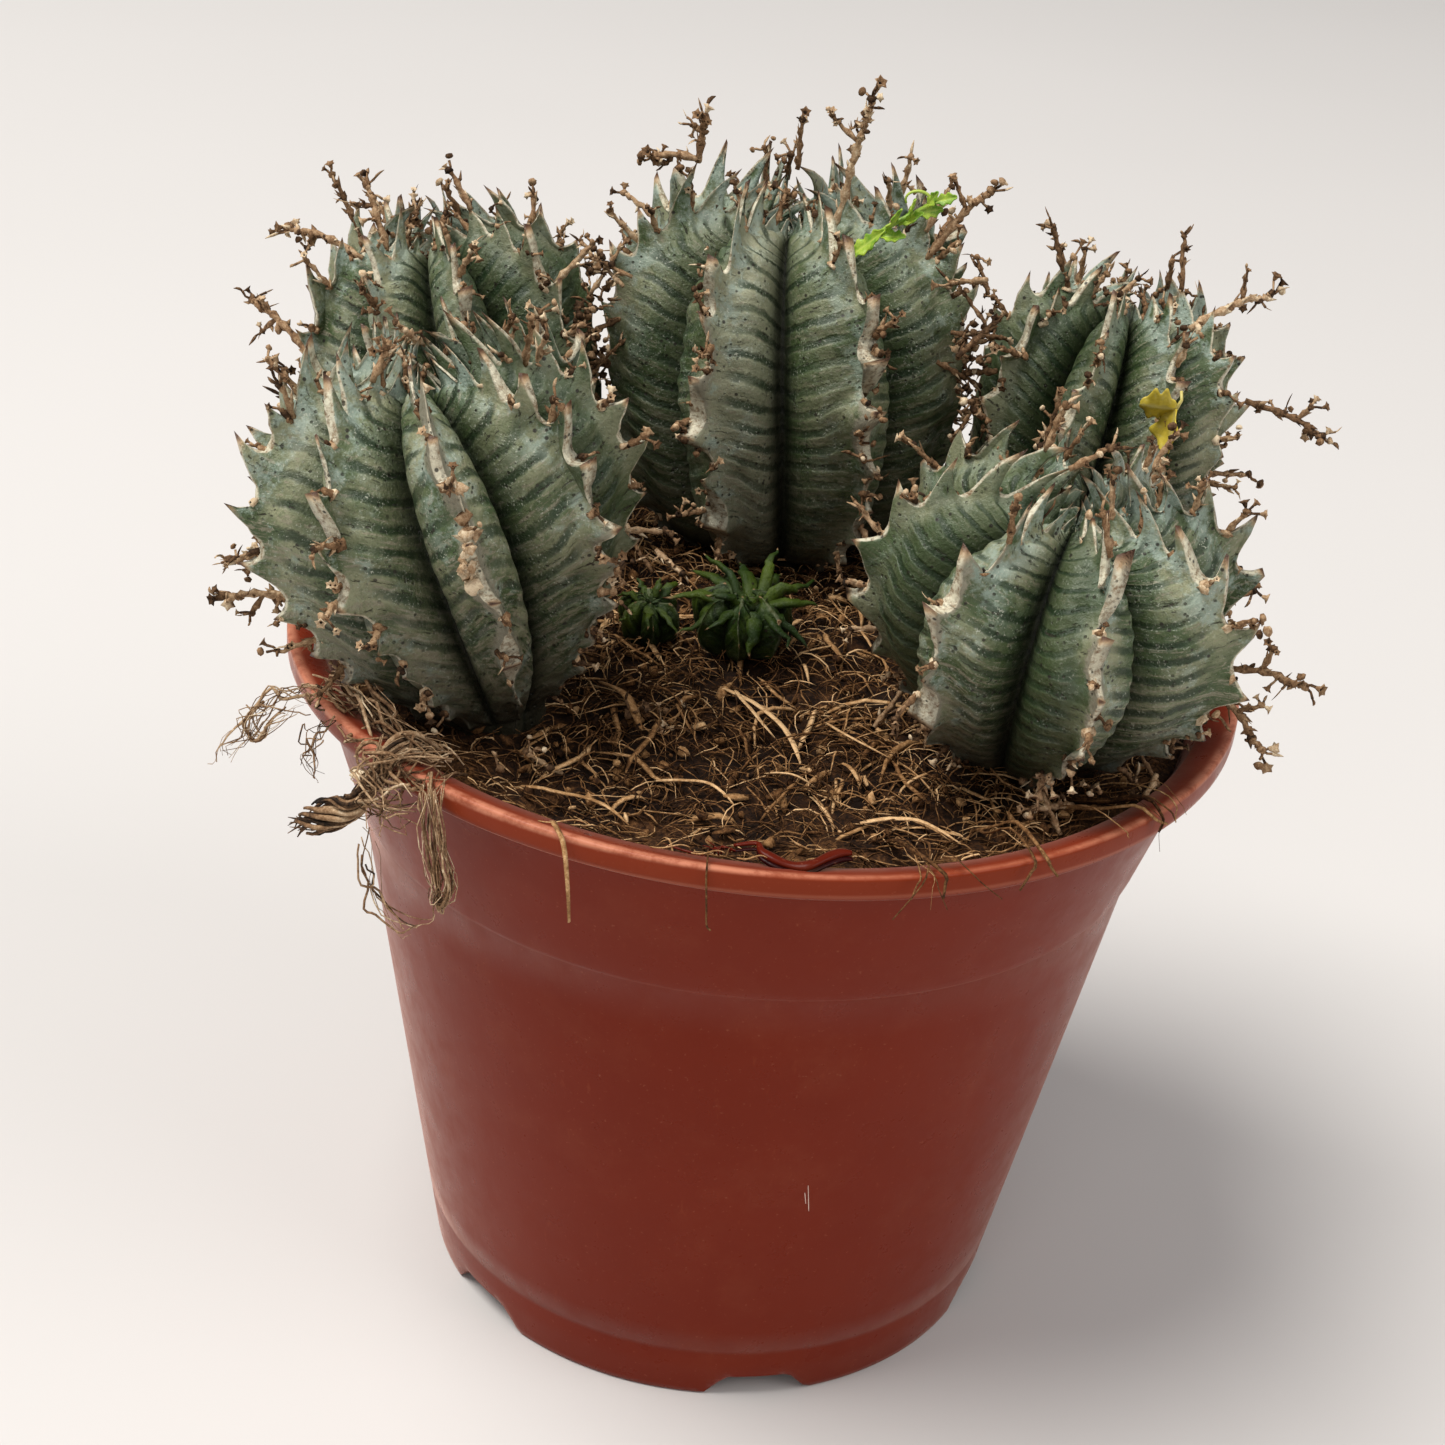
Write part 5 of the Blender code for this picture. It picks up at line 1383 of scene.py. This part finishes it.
def rule_stalks(name, grid, rib, strands, draw, extra):
    """Dried stalks on one rib, at the same teeth as in the CAD model, shortened where a neighbour is near."""
    for tooth in range(3, STEMS[name]["teeth"] - 1):
        if (2 * tooth + 3 * rib) % 5:
            continue
        root, way, along = crest_point(grid, rib, cad_count(name, tooth + 0.9 - 0.5 * (rib % 2)))
        way = unit(way + 0.25 * scatter(draw) + 0.15 * along)
        for reach in (draw.uniform(0.0045, 0.009), 0.0035, 0.002):
            path = short_path(root, way, reach)
            if clear_of_others(name, path):
                dry_stalk(strands, path, RULE_STALK, extra, extra.choice((2, 3, 4)))
                break


def tooth_scars(name, grid, rib, strands, draw):
    """A scar on each tooth of a rib, often with a stub or a short stalk on it."""
    for tooth in range(2, FINE_TEETH[name] - 1):
        root, way, along = crest_point(grid, rib, tooth + 0.78 - 0.5 * (rib % 2))
        scar = draw.uniform(0.0006, 0.0011)
        strands.turned(root - 0.45 * scar * way, way, sized(KNOB, scar), 7,
                       draw.triangular(0.30, 1.0, 0.75), 3, 0.3, rough=0.9 * scar)
        strands.turned(root + 0.25 * scar * way, way, sized(KNOB, 0.5 * scar, 0.6 * scar), 5, 0.02)
        way = unit(way + 0.3 * scatter(draw) + 0.2 * along)
        kind = draw.random()
        if kind < 0.26:
            reach = draw.uniform(0.0028, 0.0065)
        elif kind < 0.75:
            reach = draw.uniform(0.0005, 0.0018)
        else:
            continue
        path = short_path(root, way, reach)
        if not clear_of_others(name, path):
            continue
        if reach > 0.002:
            dry_stalk(strands, path, SHORT_STALK, draw, draw.choice((2, 3, 3)))
        else:
            strands.tube(path, [0.0007, 0.0006, 0.0004], 5, draw.uniform(0.1, 0.7))
            spray(strands, path[-1], way, draw.uniform(0.0006, 0.0010), draw, draw.choice((1, 2)))


def long_stalks(name, grid, strands, draw):
    """The listed long stalks, each from the crest nearest its root, with a fork and two sprays."""
    crests = np.array([crest_point(grid, rib, count)[0] for rib in range(STEMS[name]["ribs"])
                       for count in range(2, FINE_TEETH[name] - 1)])
    for owner, near, tip in LONG_STALKS:
        if owner != name:
            continue
        root = crests[np.linalg.norm(crests - near, axis=1).argmin()]
        way = np.array(tip) - root
        bow = np.array([0, 0, 0.06 * np.linalg.norm(way)])
        path = [root - 0.08 * way, root + 0.35 * way + bow, root + 0.7 * way + bow, root + 0.88 * way, tip]
        dry_stalk(strands, path, LONG_STALK, draw, 4)
        fork = root + 0.6 * way + bow
        side = unit(np.cross(way, (0.2, 1, 0.1))) * 0.16 * np.linalg.norm(way) + 0.08 * way
        dry_stalk(strands, [fork, fork + side, fork + 1.5 * side], SHORT_STALK, draw, 3)
        spray(strands, root + 0.45 * way + bow, side, 0.0011, draw, 2)
        spray(strands, root + 0.85 * way, -side, 0.0010, draw, 2)


def stem_stalks(name, grid, material):
    """The dried flower stalks of a stem, with its scars, its knobbly crest and its crusts of old flowers."""
    strands = Strands()
    draw = random.Random(SEED + len(name))
    extra = random.Random(name + "stalks")
    for rib in range(STEMS[name]["ribs"]):
        rule_stalks(name, grid, rib, strands, draw, extra)
        tooth_scars(name, grid, rib, strands, extra)
    knobbly, low, high, count = KNOBBLY.get(name, (0, 0, 0, 0))
    for _ in range(count):
        root, way = crest_point(grid, knobbly, extra.uniform(low, high))[:2]
        size = extra.uniform(0.0007, 0.0016)
        place = root + 0.0007 * scatter(extra) - 0.3 * size * way
        strands.turned(place, way, sized(KNOB, size), 8, extra.uniform(0.55, 1.1), 3, 0.3, rough=0.8 * size)
    for rib, low, high, count in CRUSTS[name]:
        for _ in range(count):
            root, way = crest_point(grid, rib, extra.uniform(low, high))[:2]
            place = root + 0.0009 * scatter(extra) - 0.0002 * way
            way = unit(way + 0.8 * scatter(extra))
            spray(strands, place, way, extra.uniform(0.0005, 0.0011), extra, extra.choice((1, 1, 2)))
    long_stalks(name, grid, strands, extra)
    strands.build(f"{name}_stalks", material)


def make_debris(material):
    """Dried flowers and broken stalks caught between the stems and at their feet."""
    strands = Strands()
    draw = random.Random(SEED + 21)
    for place, spread, count in DEBRIS:
        for _ in range(count):
            at = np.array(place) + spread * scatter(draw)
            way = unit(scatter(draw) + [0, 0, 0.3])
            if draw.random() < 0.22:
                reach = draw.uniform(0.003, 0.007) * unit(scatter(draw))
                path = [at - reach, at + 0.1 * reach, at + reach]
                dry_stalk(strands, path, draw.uniform(0.0003, 0.0005), draw, 2)
            else:
                spray(strands, at, way, draw.uniform(0.0006, 0.0012), draw, draw.choice((1, 2)))
    strands.build("stem_debris", material)


def clear_of_others(name, path):
    """True where a path keeps clear of the neighbouring stems, the pot's rim and the soil."""
    points = np.array(path)
    kept = keep_apart(name, points)
    clear = np.linalg.norm(kept - points, axis=1).max() < STALK_ROOM
    return clear and (points[:, 2] > soil_height(points[:, 0], points[:, 1]) + STALK_ROOM).all()


def root_body(strands, draw):
    """The dried root: strips wound along its course, with frayed ends."""
    places = np.linspace(0, 1, 40)
    spine = smooth_curve(ROOT_COURSE, places)
    heading = np.gradient(spine, axis=0)
    heading /= np.linalg.norm(heading, axis=1)[:, None]
    side = np.cross(heading, (0.6, -0.7, 0.3))
    side /= np.linalg.norm(side, axis=1)[:, None]
    up = np.cross(heading, side)
    girth = np.interp(places, *np.transpose(ROOT_GIRTH))
    for index in range(46):
        turn = draw.uniform(0, math.tau) + places * draw.uniform(5.0, 7.5)
        reach = girth * draw.uniform(0.30, 1.12) * (1 + 0.12 * np.sin(19 * places + index))
        path = spine + reach[:, None] * (np.cos(turn)[:, None] * side + np.sin(turn)[:, None] * up)
        low = draw.randrange(0, 14)
        high = draw.randrange(34, 41)
        thick = draw.uniform(0.00022, 0.00060)
        fade = np.interp(np.linspace(0, 1, high - low), [0, 0.1, 0.85, 1], [0.4, 1, 1, 0.5])
        tone = draw.choice((0.12, 0.25, 0.45, 0.70)) - 0.30 * ramp(places[low:high], 0.70, 0.2)
        strands.tube(path[low:high], thick * fade, 5, (np.append(np.repeat(tone, 5), tone[[0, -1]]),), 0.7)
    for _ in range(16):
        end = spine[-1] + 0.0011 * scatter(draw)
        strands.tube([spine[-3], end, end + 0.0022 * unit(heading[-1] + 0.7 * scatter(draw))],
                     [0.0004, 0.0003, 0.0001], 4, draw.uniform(0.05, 0.4), 0.6)


def root_strand(strands, course, loose, draw):
    """One loose strand that strays from a course, kept outside the pot's rim where it hangs."""
    first = draw.uniform(0, 0.25)
    last = draw.uniform(0.75, 1.0)
    path = np.array([np.array(point) + loose * scatter(draw) for point in course])
    run = np.linspace(first, last, 18)
    fine = smooth_curve(path, run)
    out = np.linalg.norm(fine[:, :2], axis=1)
    below = (fine[:, 2] < 0.1316) & (out < 0.0862) & (out > 0.0795)
    fine[below, :2] *= (0.0864 / out[below])[:, None]
    shift = 20 * draw.random()
    wave = np.stack([value_noise(np.stack([9 * run, 0 * run + shift, 0 * run + key], -1), 1.0, 15)
                     for key in (0, 1, 2)], -1)
    fine = fine + 1.2 * loose * wave * np.interp(run, [0, 0.2, 1], [0.4, 1, 1])[:, None]
    thick = draw.choice((0.00010, 0.00014, 0.00020, 0.00036))
    strands.tube(fine, thick * np.interp(run, [first, 0.5, last], [0.8, 1, 0.4]), 4,
                 draw.triangular(0.15, 0.95, 0.50), 0.6, draw.uniform(0, 3))


def make_clump(material):
    """A dried root with loose strands that hangs over the rim at the front left."""
    strands = Strands()
    draw = random.Random(SEED + 4)
    root_body(strands, draw)
    for count, loose, course in ROOT_STRANDS:
        for _ in range(count):
            root_strand(strands, course, loose, draw)
    strands.tube(ROOT_CHIP, [0.0008, 0.0011, 0.0007], 6, 1.1, 0.25, 0.8)
    clump = strands.build("root_clump", material)
    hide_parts("fibre_clump")


def leaf_blade(length, width, columns, rows, lobes, curl, fold):
    """A thin lobed leaf along +X as a grid of points, and how near each is to a vein."""
    along = np.linspace(0, 1, columns)[:, None]
    across = np.linspace(-1, 1, rows)[None]
    half = 0.5 * width * np.sin(math.pi * np.clip(0.06 + 0.92 * along, 0, 1)) ** 0.8
    half = half * (1 + 0.22 * np.cos(lobes * math.tau * along))
    x = length * along + 0 * across
    y = half * across
    z = fold * np.abs(y) + curl * length * along ** 2 + 0.04 * length * np.sin(9 * along) * across ** 2
    side_veins = np.cos(30 * (along - 0.35 * np.abs(across))) > 0.92
    vein = np.clip(1 - 6 * np.abs(across), 0, 1) + 0.5 * side_veins
    return np.stack([x, y, z], -1), np.clip(vein, 0, 1)


def leaves_object(name, blades, material, thick):
    """One piece of several thin blades, each given by its foot, way, roll and shape."""
    points = []
    faces = []
    veins = []
    count = 0
    for foot, way, roll, shape in blades:
        grid, vein = leaf_blade(**shape)
        turn = Vector(way).to_track_quat('X', 'Z').to_matrix() @ Matrix.Rotation(roll, 3, 'X')
        placed = grid.reshape(-1, 3) @ np.array(turn).T + np.array(foot)
        index = np.arange(grid.shape[0] * grid.shape[1]).reshape(grid.shape[:2]) + count
        quads = np.stack([index[:-1, :-1], index[1:, :-1], index[1:, 1:], index[:-1, 1:]], -1).reshape(-1, 4)
        points.append(placed)
        faces += quads.tolist()
        veins.append(vein.ravel())
        count += len(placed)
    leaf = mesh_object(name, np.vstack(points), faces, material, {"vein": np.concatenate(veins)})
    thickness = leaf.modifiers.new("thickness", 'SOLIDIFY')
    thickness.thickness = thick
    thickness.offset = 0
    return leaf


def make_sprout(material):
    """A small green weed of lobed leaves that grows in a furrow near the top of the tallest stem."""
    foot = Vector(WEED_FOOT)
    top = Vector(WEED_TOP)
    blades = []
    for fraction, way, size in WEED_LEAVES:
        long = size > WEED_LONG_LEAF
        shape = dict(length=size, width=0.0030 if long else 0.52 * size, columns=25, rows=9,
                     lobes=5 if long else 3, curl=0.10, fold=0.35)
        blades.append((foot.lerp(top, fraction), way, 0.9 + 0.5 * math.sin(9 * fraction), shape))
    sprout = leaves_object("sprout_leaves", blades, material, WEED_THICKNESS)
    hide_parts("weed_sprout")
    strands = Strands("vein")
    middle = (foot + top) / 2 + Vector((-0.0005, 0, 0.0006))
    strands.tube([foot, middle, top], [0.0006, 0.0005, 0.0004], 6, 0.3)
    loop = [top + Vector((0.0022 * math.cos(turn) - 0.003, 0, 0.0016 * math.sin(turn)))
            for turn in np.linspace(-0.6, 3.6, 14)]
    strands.tube(loop, np.linspace(0.0004, 0.0002, 14), 5, 0.8)
    strands.build("sprout_stalk", material)


def make_fallen_leaf(material):
    """A withered yellow leaf of two folded halves on the back right stem's teeth."""
    joint = Vector(LEAF_JOINT)
    blades = [(joint, way, roll, dict(columns=20, rows=11, **shape)) for way, roll, shape in LEAF_HALVES]
    leaf = leaves_object("yellow_leaf", blades, material, LEAF_THICKNESS)
    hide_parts("fallen_leaf")
    strands = Strands("vein")
    strands.tube([joint, joint + Vector((0.0008, 0.0004, 0.0016)), joint + Vector((0.0006, 0.0012, 0.0030))],
                 [0.0004, 0.0003, 0.0003], 5, 1.0)
    strands.build("leaf_stalk", material)


def add_camera():
    """The camera, turned by its pitch and yaw and then rolled."""
    forward = np.array([math.sin(CAMERA_YAW) * math.cos(CAMERA_PITCH),
                        math.cos(CAMERA_YAW) * math.cos(CAMERA_PITCH), -math.sin(CAMERA_PITCH)])
    level = unit(np.cross(forward, (0, 0, 1)))
    above = np.cross(level, forward)
    right = level * math.cos(CAMERA_ROLL) + above * math.sin(CAMERA_ROLL)
    up = above * math.cos(CAMERA_ROLL) - level * math.sin(CAMERA_ROLL)
    data = bpy.data.cameras.new("camera")
    data.sensor_width = 36
    data.lens = CAMERA_LENS
    data.clip_start = 0.01
    camera = add_object("camera", data, None)
    camera.matrix_world = Matrix.Translation(CAMERA_PLACE) @ Matrix(
        np.column_stack([right, up, -forward]).tolist()).to_4x4()
    bpy.context.scene.camera = camera


def add_light(name, place, target, size, power, colour):
    data = bpy.data.lights.new(name, 'AREA')
    data.shape = 'DISK'
    data.size = size
    data.energy = power
    data.color = colour
    light = add_object(name, data, None)
    light.location = place
    light.rotation_euler = (Vector(target) - Vector(place)).to_track_quat('-Z', 'Y').to_euler()


def add_stage():
    """A plain pale floor, soft light from the upper left and a dim even surround."""
    bm = bmesh.new()
    bmesh.ops.create_grid(bm, x_segments=2, y_segments=2, size=4)
    mesh = bpy.data.meshes.new("floor")
    bm.to_mesh(mesh)
    bm.free()
    shader = Shader("pale_floor", 0.9, 0.0)
    shader.colour = shader.mix(shader.noise(0.4, 2.0), *FLOOR_COLOURS)
    shader.fill(shader.surface, {"Base Color": shader.colour})
    mesh.materials.append(shader.material)
    floor = add_object("floor", mesh, None)
    world = bpy.data.worlds.new("surround")
    world.use_nodes = True
    background = world.node_tree.nodes["Background"]
    background.inputs["Color"].default_value = (*SURROUND_COLOUR, 1)
    background.inputs["Strength"].default_value = SURROUND_STRENGTH
    bpy.context.scene.world = world
    for name, settings in LIGHTS.items():
        add_light(name, *settings)
    bpy.context.scene.view_settings.view_transform = 'Standard'


def main():
    add_camera()
    add_stage()
    make_pot(pot_material())
    # A darker, shaded copy of the plastic for the sliver, and a near-black one for the painted shadow under
    # it.
    rim_marks(pot_material("pot_torn", 0.55), pot_material("pot_sliver_shadow", 0.12))
    wall_scratch(dry_material("pot_scratch", SCRATCH_STOPS))
    soil_look = dry_material("soil_mix", SOIL_STOPS)
    make_soil(soil_look)
    soil_fibres(soil_look)
    rim_strands(soil_look)
    dry_look = dry_material("dry_fibre", DRY_STOPS, 0.75)
    skin = skin_material("stem_skin", *STEM_COLOURS)
    young = skin_material("offset_skin", *OFFSET_COLOURS, OFFSET_WEAR)
    for name in STEMS:
        if name in LARGE:
            stem_stalks(name, make_stem(name, skin), dry_look)
        else:
            offset_horns(name, make_stem(name, young), young)
    make_debris(dry_look)
    make_clump(dry_look)
    make_sprout(leaf_material("sprout_green", *WEED_COLOURS, 0.002))
    make_fallen_leaf(leaf_material("yellow_leaf", *LEAF_COLOURS, 0.003))


main()
